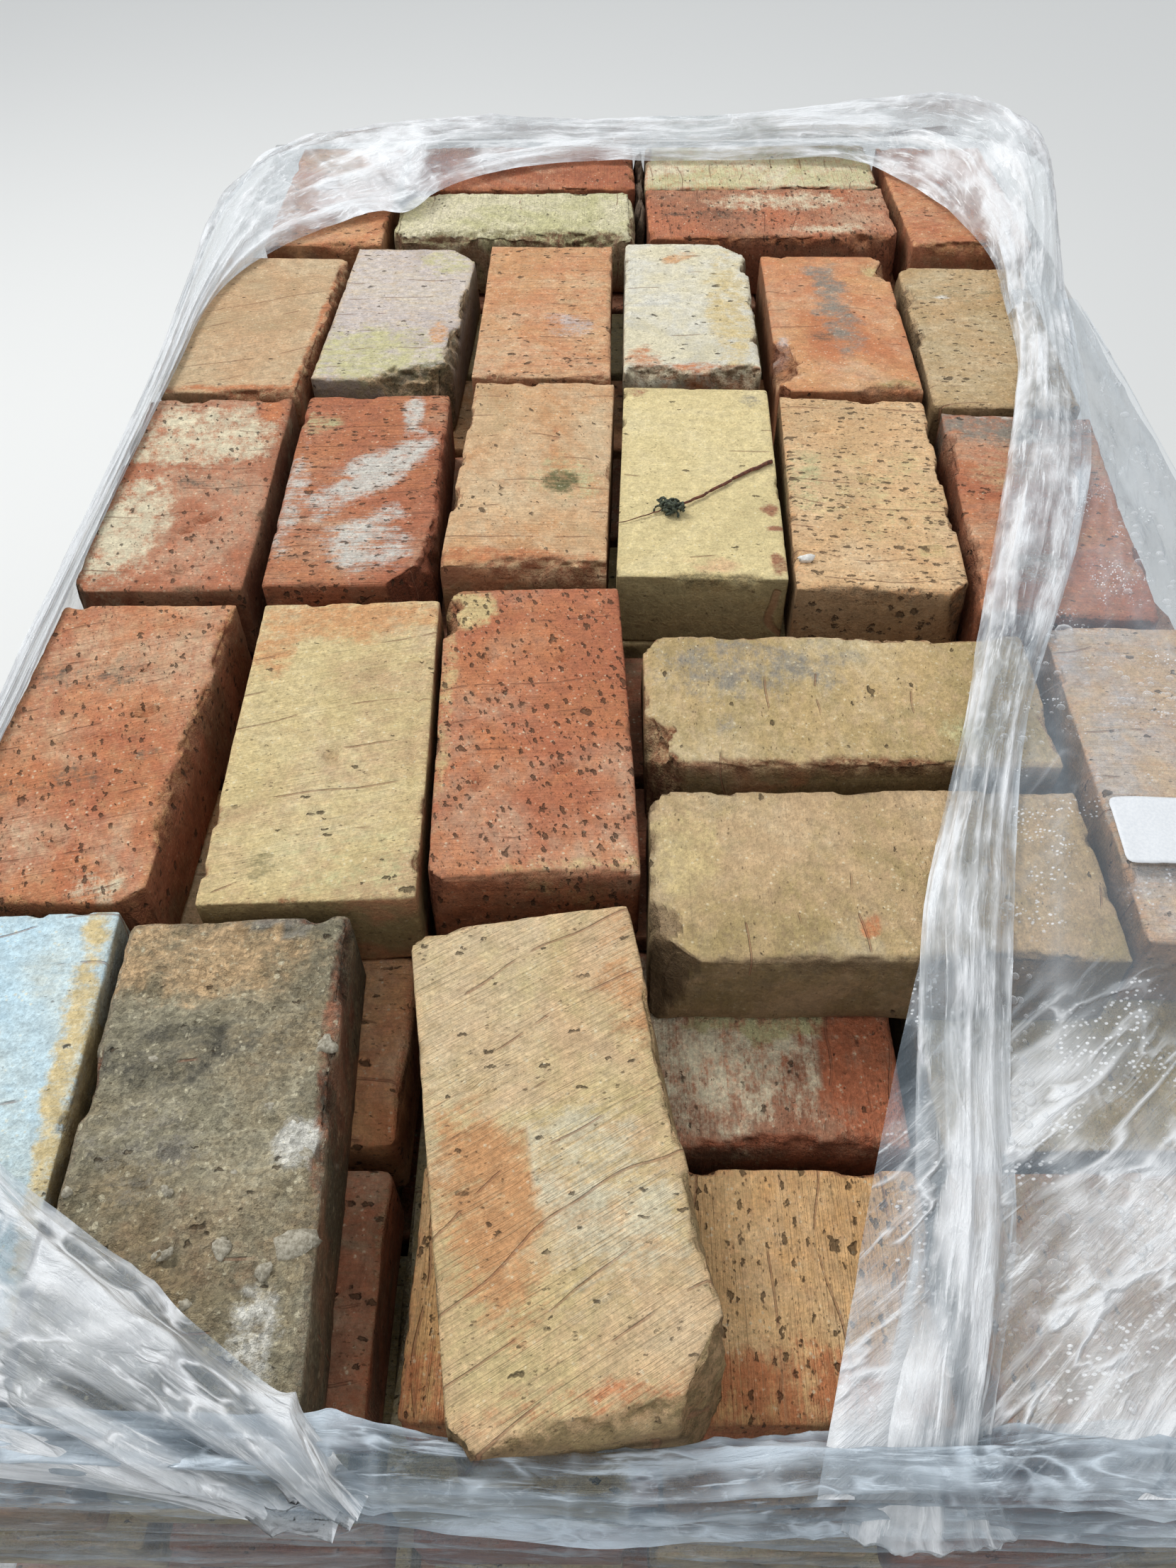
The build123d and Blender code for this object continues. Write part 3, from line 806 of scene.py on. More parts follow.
         patches=[(TAN, 10, 20, 40, 70, 0, 0.4), (RED_ORANGE, -34, 8, 6, 5, 0, 0.8),
                  (STRAW, 10, 96, 30, 20, 0, 0.5)]),
    Look("D6", 310, -270, PEACH, PINK_GREY, ORANGE, side=ORANGE, pits=0.3, wear=2.0),
    Look("E0", -291, -484, "bcd8e4", PALE_BLUE, "b6d2de", side=STRAW, pits=0.04, strokes=0.02, wear=1.5,
         relief=0.4,
         patches=[(STRAW, 52, 0, 8, 130, 4, 1.0), (CREAM, -40, 80, 20, 30, 0, 0.4),
                  (STRAW, 14, -20, 5, 5, 0, 0.7)]),
    Look("E1", -177, -484, "7d7660", "8c795a", "747062", side=BROWN_RED, pits=0.25, strokes=0.05,
         wear=2.5, relief=1.2, sand=0.6, crust=4.5,
         bites=[("right", 90, 30, 6), ("right", 20, 20, 5)],
         holes=[(10, 4, 44, 2.4, 4, 3.0), (-20, -20, 4, 3, 0, 4), (-4, -52, 5, 3, 20, 4)],
         patches=[(TAN, -10, 92, 60, 22, 0, 0.8), (BROWN_RED, -30, 100, 26, 10, 0, 0.6),
                  (LIME_WHITE, 34, -84, 10, 20, 0, 0.65), (DARK_GREY, -14, 40, 40, 16, 0, 0.55),
                  (LIME_WHITE, 42, -4, 11, 10, 0, 0.8), (GREY, 20, 106, 22, 9, 0, 0.8),
                  (GREY, -24, -4, 26, 22, 0, 0.45), (BROWN, 10, -44, 40, 20, 0, 0.4),
                  (BROWN_RED, 51, 40, 4, 60, 0, 0.7)]),
    Look("E2", -28, -482, PEACH, STRAW, "dfb98c", side=OLIVE, pits=0.3, strokes=0.6, stroke_turn=-22,
         wear=2.5, relief=0.8,
         bites=[("front", 10, 46, 6), ("right", -50, 26, 6), ("right", 20, 40, 5)],
         holes=[(-28, 26, 9, 2.4, -20, 3), (-26, -20, 15, 30, 6, 1.6)],
         patches=[(ORANGE, -30, -30, 19, 42, 6, 1.0), (CREAM, 14, -30, 32, 40, 0, 0.6),
                  (ORANGE, 44, 60, 12, 40, 0, 0.5), (RED_ORANGE, 0, -104, 50, 7, 0, 0.5)]),
]

SECOND_LOOKS = [
    Look("L1", 24, -408, BROWN_RED, RED, DARK_RED, side=DARK_RED, pits=0.3, wear=3, relief=0.9, sand=0.3,
         bites=[("back", 0, 60, 7), ("left", -60, 50, 6)],
         patches=[(CREAM, 0, -10, 46, 76, 0, 0.7), (LICHEN, 20, -40, 24, 50, 0, 0.75),
                  (RED, -10, -98, 40, 22, 0, 0.95)]),
    Look("L2", 24, -526, "e8bd86", "e0ac70", ORANGE, side=RED, pits=0.9, pit_turn=0, strokes=0.6,
         stroke_turn=0, wear=2.5,
         bites=[("front", 0, 24, 5)],
         patches=[(RED_ORANGE, -46, 0, 22, 130, 0, 0.85), (DARK_RED, -56, 0, 7, 130, 0, 0.6)]),
    Look("L3", 267, -526, TAN, PEACH, RED_ORANGE, side=RED, pits=0.4),
    Look("L4", 267, -408, OLIVE, STRAW, TAN, side=BROWN, pits=0.3),
    Look("L5", 267, -290, RED_ORANGE, PEACH, RED, side=RED, pits=0.4),
]

COMMON = [
    (RED_ORANGE, ORANGE, RED), (RED, BROWN_RED, DARK_RED), (TAN, ORANGE, PEACH), (OLIVE, STRAW, TAN),
    (PALE_YELLOW, STRAW, CREAM), (BROWN_RED, RED, BROWN),
]


def dressed_bricks(looks, node_name, first_seed):
    """Makes each brick that has a look of its own, and returns the bricks that are left."""
    bricks = bricks_of(node_name)
    for seed, look in enumerate(looks, first_seed):
        brick = min(bricks, key=lambda brick: math.hypot(brick.middle.x - look.x, brick.middle.y - look.y))
        bricks.remove(brick)
        fine_brick(look, brick, node_name, seed)
    return bricks


def chance_shape(dice):
    """How worn a plainer brick is."""
    wear = dice.uniform(2.2, 4.2)
    bite = (dice.choice(list(SIDES)), dice.uniform(-40, 40), dice.uniform(10, 30), dice.uniform(3, 8))
    return {"wear": wear, "relief": 1.0, "bites": [bite]}


def joined_bricks(name, bricks, node_name, materials, seed):
    """The plainer bricks of one layer as one mesh, each with the clay of its own kind."""
    dice = random.Random(seed)
    parts, nears, breaks, kinds = [], [], [], []
    for number, brick in enumerate(bricks):
        spacing = PLAIN_STEP if brick.outermost() else HIDDEN_STEP
        points, faces, near, fresh = brick_shape(
            brick.size, brick.breaks, seed * 40 + number, spacing, PLAIN_BORDER, **chance_shape(dice))
        parts.append((turned(points, brick.turn) + np.array(brick.middle), faces))
        nears.append(near)
        breaks.append(fresh)
        kinds += [dice.randrange(len(materials))] * len(faces)
    points, faces = joined(parts)
    near, fresh, stains = np.concatenate(nears), np.concatenate(breaks), np.zeros((len(points), 4))
    piece = brick_piece(name, points, faces, materials, near, fresh, stains, node_name)
    piece.data.polygons.foreach_set("material_index", kinds)


def all_bricks():
    """The stack: fine bricks in sight, plainer ones below and behind them."""
    dressed_bricks(TOP_LOOKS, TOP_LAYER, 1)
    common = [brick_material(f"clay_{n}", *colours, 60 + n, pits=0.4) for n, colours in enumerate(COMMON)]
    for layer in range(1, 14):
        node_name = f"brick_layer_{layer:02d}"
        bricks = dressed_bricks(SECOND_LOOKS, node_name, 40) if layer == 13 else bricks_of(node_name)
        joined_bricks(f"bricks_{layer:02d}", bricks, node_name, common, layer)


# Stretch film. A sheet is drawn by a net of points: rows across it, each running along it, given as
# x and y on the plan and height over the stack's top, in millimetres.

def smooth_line(points, count):
    """A smooth curve through points along the first axis, sampled evenly."""
    last = len(points) - 1
    spot = np.linspace(0, last, count)
    start = np.minimum(spot.astype(int), last - 1)
    part = (spot - start).reshape((-1,) + (1,) * (points.ndim - 1))
    before, after = points[np.maximum(start - 1, 0)], points[np.minimum(start + 2, last)]
    here, there = points[start], points[start + 1]
    bend = 2 * before - 5 * here + 4 * there - after
    twist = 3 * here - before - 3 * there + after
    return 0.5 * (2 * here + (there - before) * part + bend * part**2 + twist * part**3)


def net_surface(net, across, along):
    """A grid of points on the smooth surface through a net."""
    points = np.array(net, float)
    points[:, :, 2] += TOP / MM
    points = smooth_line(points, across)
    points = smooth_line(points.transpose(1, 0, 2), along).transpose(1, 0, 2)
    return points * MM


def ways(grid):
    """How far each grid point lies across and along its sheet."""
    across = np.linalg.norm(np.diff(grid, axis=0, prepend=grid[:1]), axis=2).mean(1).cumsum()
    along = np.linalg.norm(np.diff(grid, axis=1, prepend=grid[:, :1]), axis=2).mean(0).cumsum()
    return np.dstack(np.broadcast_arrays(across[:, None], along[None, :], 0.0))


def normals(grid):
    """The surface's direction at each grid point, pointing up or outwards."""
    made = np.cross(np.gradient(grid, axis=1), np.gradient(grid, axis=0))
    return made / np.maximum(np.linalg.norm(made, axis=2, keepdims=True), 1e-9)


def ridges(way, across, along, seed):
    """Sharp folds, this wide and this long, from 0 to 1."""
    flat = way.reshape(-1, 3)
    warp = 0.35 * ripple(flat / np.array([across * 3, along, 1]), 1, seed + 3)
    spot = flat / np.array([across, along, 1]) + np.column_stack([warp, warp * 0, warp * 0])
    return ((1 - np.abs(ripple(spot, 1, seed))) ** 3).reshape(way.shape[:2])


def resting_height(grid):
    """How low film may lie: on the top layer, or on the next one where the front right is open."""
    x, y = grid[:, :, 0], grid[:, :, 1]
    fall = np.clip((SAG_START - y) / (SAG_START - WALL_LOW.y), 0, 1) * SAG
    return np.where(x > OPEN_FROM, TOP - fall, TOP) + FILM_GAP


def film_piece(name, grid, fold, material, nodes=(), busy=None):
    """A sheet of film from its grid of points, with what its shader reads at each."""
    rows, columns = grid.shape[:2]
    way = ways(grid)
    piece = mesh_object(name, grid.reshape(-1, 3), grid_faces(rows, columns), material)
    paint(piece.data, "fold", "FLOAT", fold)
    paint(piece.data, "busy", "FLOAT", np.ones(grid.shape[:2]) if busy is None else busy)
    paint(piece.data, "way", "FLOAT_VECTOR", way)
    dress(piece, "stretch_film", *nodes)
    return piece


def folded(grid, seed, folds, crumple, rest=True, amount=None):
    """Raises folds and creases on a smooth sheet, and keeps it off what it lies on."""
    way = ways(grid)
    out = normals(grid)
    out *= np.where(out[:, :, 2:].mean() < 0, -1, 1)
    total = np.zeros(grid.shape[:2])
    height = np.zeros(grid.shape[:2])
    for number, (across, along, rise) in enumerate(folds):
        share = ridges(way, across * MM, along * MM, seed + 10 * number)
        height += rise * MM * share
        total += share * min(rise / 4, 1)
    size, rise = crumple
    creased = ridges(way, size * MM, size * 1.3 * MM, seed + 77)
    height += rise * MM * creased
    if amount is not None:
        height *= amount
    grid = grid + out * height[:, :, None]
    if rest:
        grid[:, :, 2] = np.maximum(grid[:, :, 2], resting_height(grid))
    return grid, np.clip(total / max(len(folds), 1) * 1.3 + 0.35 * creased, 0, 1)


def crease_lines(way, size, width):
    """Thin winding creases, where smooth noise crosses its middle."""
    drawn = mapped(way, Scale=(1, 0.45, 1))
    off = calc("ABSOLUTE", noise(drawn, size, 2.5, 0.55, 0.5) - 0.5)
    patchy = step(noise(way, size * 0.6, 2), 0.45, 0.62)
    return step(off, 0, width, 1.0, 0.0) * patchy


def film_material(name, clear, folded_alpha, streak=0.5, turn=0.0, tint_and_shade="c4d0d8", drops=0.0, creases=0.4,
                  milk_glint_colour="f4f6f7"):
    """Stretch film: see-through where it lies smooth, milky where it is folded or stretched. The white of
    its streaks, creases and drops is partly painted highlights and sky reflections, and a dark tint is
    painted shade.
    """
    material, tree, shader = new_material(name)
    way = stored(tree, "way", 1)
    fold = stored(tree, "fold", 2)
    way = mapped(way, Rotation=(0, 0, math.radians(turn)))
    bent = shaken(way, 9, 0.02)
    lines = noise(mapped(bent, Scale=(1, 0.05, 1)), 380, 5, 0.66)
    bands = noise(mapped(bent, Scale=(1, 0.1, 1)), 85, 5, 0.6)
    broad = noise(mapped(bent, Scale=(1, 0.35, 1)), 20, 4, 0.6)
    crinkle = noise(mapped(way, Scale=(1, 0.5, 1)), 150, 6, 0.7, 1.2)
    crease = calc("MAXIMUM", crease_lines(bent, 17, 0.03), crease_lines(way, 44, 0.05))
    # Milky film and painted highlights together: streaks, bands, crinkles, creases and drops whiten the
    # film and make it less clear.
    milk_and_glint = step(lines, 0.56, 0.7) * (streak * 0.75)
    milk_and_glint = step(bands, 0.5, 0.68) * (streak * 0.55) + milk_and_glint
    milk_and_glint = step(broad, 0.42, 0.62) * (streak * 0.7) + milk_and_glint
    milk_and_glint = step(crinkle, 0.52, 0.7) * 0.16 + milk_and_glint
    milk_and_glint = crease * (0.75 * creases) + milk_and_glint
    busy = stored(tree, "busy", 2)
    milk_and_glint = fold * 0.62 + milk_and_glint * busy
    if drops:
        bead = step(cells(way, 420), 0.2, 0.34, 1.0, 0.0)
        wet = bead * step(noise(way, 26, 3), 0.5, 0.62)
        milk_and_glint = wet * drops + milk_and_glint
    alpha = step(milk_and_glint, 0.05, 1.15, clear, folded_alpha)
    # From the tint, which is painted shade where it is dark, to the white of milky film and painted
    # highlights.
    colour = mix(step(milk_and_glint, 0.1, 0.9), linear(tint_and_shade), linear(milk_glint_colour))
    height = lines * 0.5 + crinkle * 0.5
    height = bands * 1.6 + height
    height = broad * 1.6 + height
    height = (crease * (1.2 * creases) + height) * busy
    feed(shader, {
        "Base Color": colour,
        "Roughness": 0.12,
        "Specular IOR Level": 0.5,
        "Alpha": alpha,
        "Normal": bump(height, 0.7, 0.004),
    })
    return material


# Each station: inner edge, shoulder, crest and outer edge
LEFT_AND_BACK = [
    [(-341, -600, 2), (-341, -440, 2), (-341, -250, 2), (-342, -60, 2), (-341, 120, 2), (-336, 270, 2),
     (-297, 360, 2), (-225, 426, 2), (-186, 428, 2), (-146, 497, 2), (-60, 546, 2), (30, 553, 2),
     (130, 553, 2), (236, 548, 2), (284, 500, 2), (318, 420, 2), (334, 330, 2), (326, 232, 0)],
    [(-344, -600, 5), (-344, -440, 5), (-344, -250, 5), (-345, -60, 5), (-344, 120, 6), (-343, 270, 10),
     (-325, 385, 15), (-285, 470, 14), (-240, 510, 14), (-180, 550, 18), (-80, 578, 20), (20, 580, 20),
     (120, 580, 22), (240, 578, 26), (318, 540, 34), (352, 460, 34), (358, 350, 28), (340, 236, 8)],
    [(-348, -600, 6), (-348, -440, 6), (-348, -250, 6), (-349, -60, 7), (-350, 120, 9), (-354, 270, 14),
     (-352, 400, 20), (-330, 510, 20), (-290, 565, 20), (-215, 593, 22), (-100, 602, 22), (10, 604, 21),
     (120, 604, 24), (250, 604, 32), (345, 590, 44), (392, 510, 46), (384, 380, 34), (356, 238, 9)],
    [(-354, -600, -4), (-353, -440, -3), (-353, -250, -3), (-354, -60, -3), (-356, 120, -4),
     (-363, 270, -6), (-368, 400, -10), (-362, 530, -10), (-340, 600, -12), (-230, 612, -14),
     (-100, 613, -14), (10, 613, -14), (120, 613, -14), (260, 614, -12), (365, 612, -4), (414, 530, 6),
     (404, 390, 4), (376, 240, -4)],
]

RIGHT_ROPE = [
    [(331, 290, 0), (324, 225, 3), (316, 155, 2), (296, 80, 2), (266, -16, 2), (232, -120, 2),
     (200, -222, 2), (172, -300, 2), (148, -372, 2), (134, -450, -12), (122, -520, -26), (98, -585, -38),
     (84, -612, -52), (84, -615, -120)],
    [(346, 300, 5), (336, 228, 15), (326, 156, 13), (306, 80, 11), (278, -16, 12), (244, -120, 11),
     (210, -222, 11), (182, -300, 11), (160, -372, 10), (146, -450, -4), (134, -520, -18),
     (106, -590, -28), (98, -618, -50), (96, -620, -120)],
    [(364, 306, 6), (350, 230, 18), (338, 157, 15), (320, 80, 13), (294, -16, 13), (258, -120, 12),
     (220, -222, 12), (192, -300, 12), (172, -372, 11), (158, -450, -4), (146, -520, -18),
     (122, -592, -26), (120, -620, -50), (122, -622, -120)],
    [(386, 300, -4), (372, 228, 6), (362, 158, 4), (350, 80, 2), (322, -16, 2), (280, -120, 2),
     (234, -222, 2), (208, -300, 2), (190, -372, 2), (174, -450, -10), (164, -520, -26), (140, -590, -36),
     (146, -614, -54), (148, -616, -120)],
]

CLEAR_SHEET = [
    [(336, 232, 3), (304, 100, 2), (272, -16, 2), (236, -120, 2), (200, -222, 2), (174, -295, 2),
     (151, -368, 2), (122, -450, -10), (96, -530, -26), (72, -608, -40)],
    [(348, 236, 8), (326, 100, 6), (306, -16, 5), (280, -120, 4), (250, -222, 4), (232, -295, 4),
     (215, -368, 2), (196, -450, -12), (180, -530, -26), (168, -608, -38)],
    [(362, 238, 10), (352, 100, 8), (344, -16, 7), (332, -120, 6), (318, -222, 5), (308, -295, 5),
     (300, -368, 3), (290, -450, -10), (282, -530, -24), (276, -608, -36)],
    [(380, 240, 8), (386, 100, 4), (386, -16, 4), (386, -120, 4), (386, -222, 4), (386, -295, 4),
     (386, -368, 1), (386, -450, -10), (386, -530, -24), (385, -608, -36)],
    [(388, 240, -8), (390, 100, -14), (390, -16, -14), (390, -120, -14), (390, -222, -14),
     (390, -295, -14), (390, -368, -20), (390, -450, -32), (390, -530, -48), (390, -608, -62)],
]

FRONT_LEFT_SHEET = [
    [(-352, -452, 4), (-300, -478, 3), (-255, -503, 3), (-202, -535, 3), (-153, -566, 3), (-118, -592, 2),
     (-86, -612, -2)],
    [(-354, -480, 14), (-305, -505, 14), (-262, -526, 13), (-215, -554, 12), (-168, -580, 12),
     (-130, -600, 8), (-92, -616, -10)],
    [(-356, -540, 8), (-320, -552, 8), (-280, -566, 8), (-235, -582, 8), (-190, -596, 7), (-145, -608, 2),
     (-98, -618, -20)],
    [(-357, -604, 4), (-325, -607, 4), (-290, -608, 4), (-245, -609, 3), (-200, -611, 0),
     (-150, -614, -8), (-104, -618, -30)],
]

FRONT_RIM = [
    [(-348, -594, 3), (-250, -592, 3), (-160, -592, 3), (-100, -593, -3), (-50, -595, -20),
     (10, -594, -33), (80, -590, -37), (170, -586, -36), (270, -586, -36), (380, -590, -34)],
    [(-349, -598, 10), (-250, -598, 10), (-160, -598, 9), (-100, -600, 3), (-50, -601, -14),
     (10, -600, -26), (80, -596, -28), (170, -594, -26), (270, -594, -26), (382, -596, -26)],
    [(-352, -606, 8), (-250, -607, 9), (-160, -608, 8), (-100, -610, 1), (-50, -611, -16),
     (10, -610, -28), (80, -606, -28), (170, -606, -25), (270, -606, -25), (386, -604, -26)],
    [(-354, -611, -14), (-250, -613, -14), (-160, -614, -15), (-100, -616, -22), (-50, -617, -38),
     (10, -617, -50), (80, -616, -54), (170, -616, -54), (270, -616, -54), (388, -612, -54)],
]

LEAN = 13
LEAN_REACH = 60 * MM
SAG_START = -0.3955
SAG = 0.045
OPEN_FROM = 0.048
FILM_GAP = 0.9 * MM
WALL_CORNER = 14 * MM
WALL_STEP = 11 * MM
WALL_ROWS = 86


def edge_fade(grid, least):
    """Less fold where a sheet is narrow."""
    width = np.linalg.norm(np.diff(grid, axis=0), axis=2).sum(0)
    return np.clip(width / 0.12, least, 1.0)[None, :]


def torn_edges(milky):
    """The bunched borders of the film: round the left and the back, and the rolled one to the front."""
    grid = net_surface(LEFT_AND_BACK, 64, 420)
    folds = [(9, 220, 4.0), (17, 300, 5), (5, 120, 1.6)]
    grid, fold = folded(grid, 5, folds, (22, 1.0), amount=edge_fade(grid, 0.3))
    fold = np.clip(fold + 0.5 * (1 - edge_fade(grid, 0)), 0, 1)
    film_piece("torn_edge_back", grid, fold, milky,
               ["film_rim_left", "film_rim_back", "film_flap_back_left", "film_flap_back_right"])

    grid = net_surface(RIGHT_ROPE, 52, 300)
    folds = [(7, 200, 4.5), (12, 260, 4), (4, 90, 1.4)]
    grid, fold = folded(grid, 15, folds, (16, 0.8), amount=edge_fade(grid, 0.4))
    film_piece("torn_edge_right", grid, fold, milky,
               ["film_rim_right"])


def clear_sheet(clear):
    """The sheet over the right side: smooth in its middle, crumpled at the front."""
    grid = net_surface(CLEAR_SHEET, 100, 200)
    crumpled = np.clip((-0.45 - grid[:, :, 1]) / 0.13, 0, 1)
    grid, fold = folded(grid, 25, [(44, 300, 5), (19, 160, 2.2)], (22, 2.2), amount=0.5 + 1.8 * crumpled)
    inner = np.clip((grid[:, :, 0] - 0.1) / 0.1, 0, 1)
    to_front, to_back = (-0.38 - grid[:, :, 1]) / 0.12, grid[:, :, 1] / 0.15
    busy = 0.18 + 1.0 * np.clip(to_front, 0, 1) + 0.3 * np.clip(to_back, 0, 1)
    fold = np.clip(fold * (0.5 + 0.9 * crumpled) + 0.5 * crumpled * inner, 0, 1)
    return film_piece("clear_sheet", grid, fold, clear,
                      ["film_flap_right"], busy)


def film_on_top():
    """The torn edges and sheets of film over the top layer."""
    milky = film_material("film_bunched", 0.2, 0.95, 0.75, tint_and_shade="d6e1e7", creases=0.2)
    clear = film_material("film_clear", 0.15, 0.9, 0.46, -34, tint_and_shade="b9c9d4", drops=0.5, creases=0.7)
    # The rim's dark blue-grey tint is painted shade on the film under the front rim.
    rim = film_material("film_rim", 0.36, 0.92, 0.55, tint_and_shade="425f70", creases=0.6, milk_glint_colour="d3dfe8")
    cloudy = film_material("film_wrinkled", 0.2, 0.92, 0.45, tint_and_shade="98abba", creases=1.0)
    torn_edges(milky)
    sheet = clear_sheet(clear)

    grid = net_surface(FRONT_LEFT_SHEET, 70, 120)
    grid, fold = folded(grid, 35, [(20, 160, 8), (8, 100, 3)], (24, 6))
    film_piece("front_left_sheet", grid, fold, cloudy,
               ["film_flap_front_left"])

    grid = net_surface(FRONT_RIM, 44, 260)
    grid, fold = folded(grid, 45, [(7, 160, 4.5), (4, 70, 2)], (14, 1), rest=False)
    film_piece("torn_edge_front", grid, fold, rim,
               ["film_rim_front", "film_rim_front_low"])
    return sheet


def wall_ring(corner, spacing):
    """Points round the wrap's plan and the outward direction at each."""
    low, high = WALL_LOW, WALL_HIGH
    points = []
    for x, y, start, side_x, side_y in ((high.x, low.y, -90, -1, 1), (high.x, high.y, 0, -1, -1),
                                        (low.x, high.y, 90, 1, -1), (low.x, low.y, 180, 1, 1)):
        middle = np.array([x + side_x * corner, y + side_y * corner])
        for part in range(5):
            angle = math.radians(start + part * 22.5)
            out = np.array([math.cos(angle), math.sin(angle)])
            points.append(np.concatenate([middle + corner * out, out]))
    made = []
    for place, point in enumerate(points):
        after = points[(place + 1) % len(points)]
        count = max(round(np.linalg.norm(after[:2] - point[:2]) / spacing), 1)
        made += [point + (after - point) * part / count for part in range(count)]
    return np.array(made + made[:1])


def film_walls():
    """The wrap round the four sides, drawn in level bands, with a gathered foot on the deck."""
    ring = wall_ring(WALL_CORNER, WALL_STEP)
    fall = np.clip((SAG_START - ring[:, 1]) / (SAG_START - WALL_LOW.y), 0, 1) * SAG
    top = TOP - fall * np.clip((ring[:, 0] + 0.09) / 0.1, 0, 1)
    share = np.linspace(0, 1, WALL_ROWS)[:, None]
    z = WALL_LOW.z + (top[None, :] - WALL_LOW.z) * share
    x, y = (np.repeat(ring[None, :, axis], WALL_ROWS, 0) for axis in (0, 1))
    grid = np.dstack([x, y, z])
    way = ways(grid)
    swapped = way[:, :, [1, 0, 2]]
    band = ridges(swapped, 520 * MM, 15 * MM, 91)
    tight = ridges(swapped, 160 * MM, 6 * MM, 92)
    slant = swapped @ np.array([[1, 0.35, 0], [-0.35, 1, 0], [0, 0, 1]])
    diagonal = ridges(slant, 240 * MM, 24 * MM, 93)
    foot = np.clip(1 - (z - WALL_LOW.z) / 0.05, 0, 1)
    pleat = ridges(swapped, 16 * MM, 90 * MM, 94)
    out = 0.6 + 3.2 * band + 1.2 * tight + 2.0 * diagonal + foot * (3 + 7 * pleat)
    near_top = np.clip((z - TOP + LEAN_REACH) / LEAN_REACH, 0, 1)
    lean = LEAN * near_top ** 2 * np.clip(-1.5 * ring[None, :, 2] - 0.5, 0, 1)
    grid[:, :, 0] += ring[None, :, 2] * (out - lean) * MM
    grid[:, :, 1] += ring[None, :, 3] * out * MM
    fold = np.clip(0.55 * band + 0.45 * tight + 0.35 * diagonal + 0.5 * foot, 0, 1)
    # The wall's dark blue-grey tint is painted shade on the film down the sides.
    material = film_material("film_wall", 0.27, 0.68, 0.26, 6, tint_and_shade="4f6474", creases=0.3, milk_glint_colour="a9b7c1")
    film_piece("film_wall", grid, fold, material,
               ["film_wrap"])


# Small things on top

LABEL_SIZE = (68 * MM, 43 * MM)
LABEL_CORNER = 4 * MM
LABEL_TURN = -3
LABEL_LIFT = 0.5 * MM
LABEL_COLUMNS, LABEL_ROWS = 30, 20


def film_heights(sheet):
    """Finds the sheet's highest point near a place on the plan."""
    points = np.array([vertex.co[:] for vertex in sheet.data.vertices])

    def height(x, y, near=6 * MM):
        gap = np.hypot(points[:, 0] - x, points[:, 1] - y)
        close = gap < near
        return points[close, 2].max() if close.any() else points[gap.argmin(), 2]
    return height


def label_paper():
    """Plain matt paper, a little cockled."""
    material, tree, shader = new_material("label_paper")
    here = own_place(tree)
    fibre = noise(here, 700, 4)
    cockle = noise(here, 45, 2)
    tone = mix(step(fibre, 0.3, 0.7), linear("dde0e3"), linear("e9ebec"))
    height = fibre * 0.15 + cockle
    feed(shader, {"Base Color": tone, "Roughness": 0.5, "Normal": bump(height, 0.5, 0.0012)})
    return material


def add_label(height_at):
    """The blank sticker, following the film under it."""
    low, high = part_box("blank_label")
    middle = (low + high) / 2
    half, corner = np.array(LABEL_SIZE) / 2, LABEL_CORNER
    xs, ys = np.linspace(-half[0], half[0], LABEL_COLUMNS), np.linspace(-half[1], half[1], LABEL_ROWS)
    flat = np.array([(x, y) for y in ys for x in xs])
    core = half - corner
    beyond = np.maximum(np.abs(flat) - core, 0)
    reach = np.linalg.norm(beyond, axis=1)[:, None]
    rounded_off = np.sign(flat) * (core + beyond * corner / np.maximum(reach, corner))
    flat = turned(np.where(reach > corner, rounded_off, flat), math.radians(LABEL_TURN))
    points = [(x, y, height_at(x, y, 14 * MM) + LABEL_LIFT) for x, y in flat + np.array(middle[:2])]
    label = mesh_object("blank_sticker", points, grid_faces(LABEL_ROWS, LABEL_COLUMNS), label_paper())
    solid = label.modifiers.new("thickness", "SOLIDIFY")
    solid.thickness = 0.25 * MM
    solid.offset = 1
    dress(label, "label_paper", "blank_label")


def dome(middle, out, radius, rise, sides=9, rings=3):
    """A low drop standing on a surface."""
    out = Vector(out).normalized()
    across = out.orthogonal().normalized()
    along = out.cross(across)
    points = []
    for ring, side in product(range(rings), range(sides)):
        angle = ring / rings * math.pi / 2
        turn = 2 * math.pi * side / sides
        flat = across * math.cos(turn) + along * math.sin(turn)
        points.append(Vector(middle) + flat * radius * math.cos(angle) + out * rise * math.sin(angle))
    points.append(Vector(middle) + out * rise)
    base = (rings - 1) * sides
    cap = [(base + side, base + (side + 1) % sides, len(points) - 1) for side in range(sides)]
    return points, belts(rings, sides) + cap


def drop_material():
    """Clear water drawn white as a painted highlight, more opaque at its rim."""
    material, tree, shader = new_material("water_drops")
    # Painted highlight: the water is given a white colour, and its rim is more opaque.
    tone = mix(noise(own_place(tree), 300), linear("dfe8ee"), linear("ffffff"))
    rim = node(tree, "LayerWeight", None, {"Blend": 0.4}, 1)
    alpha = step(rim, 0.1, 0.8, 0.12, 0.6)
    feed(shader, {"Base Color": tone, "Roughness": 0.03, "Specular IOR Level": 1.0, "Alpha": alpha})
    return material


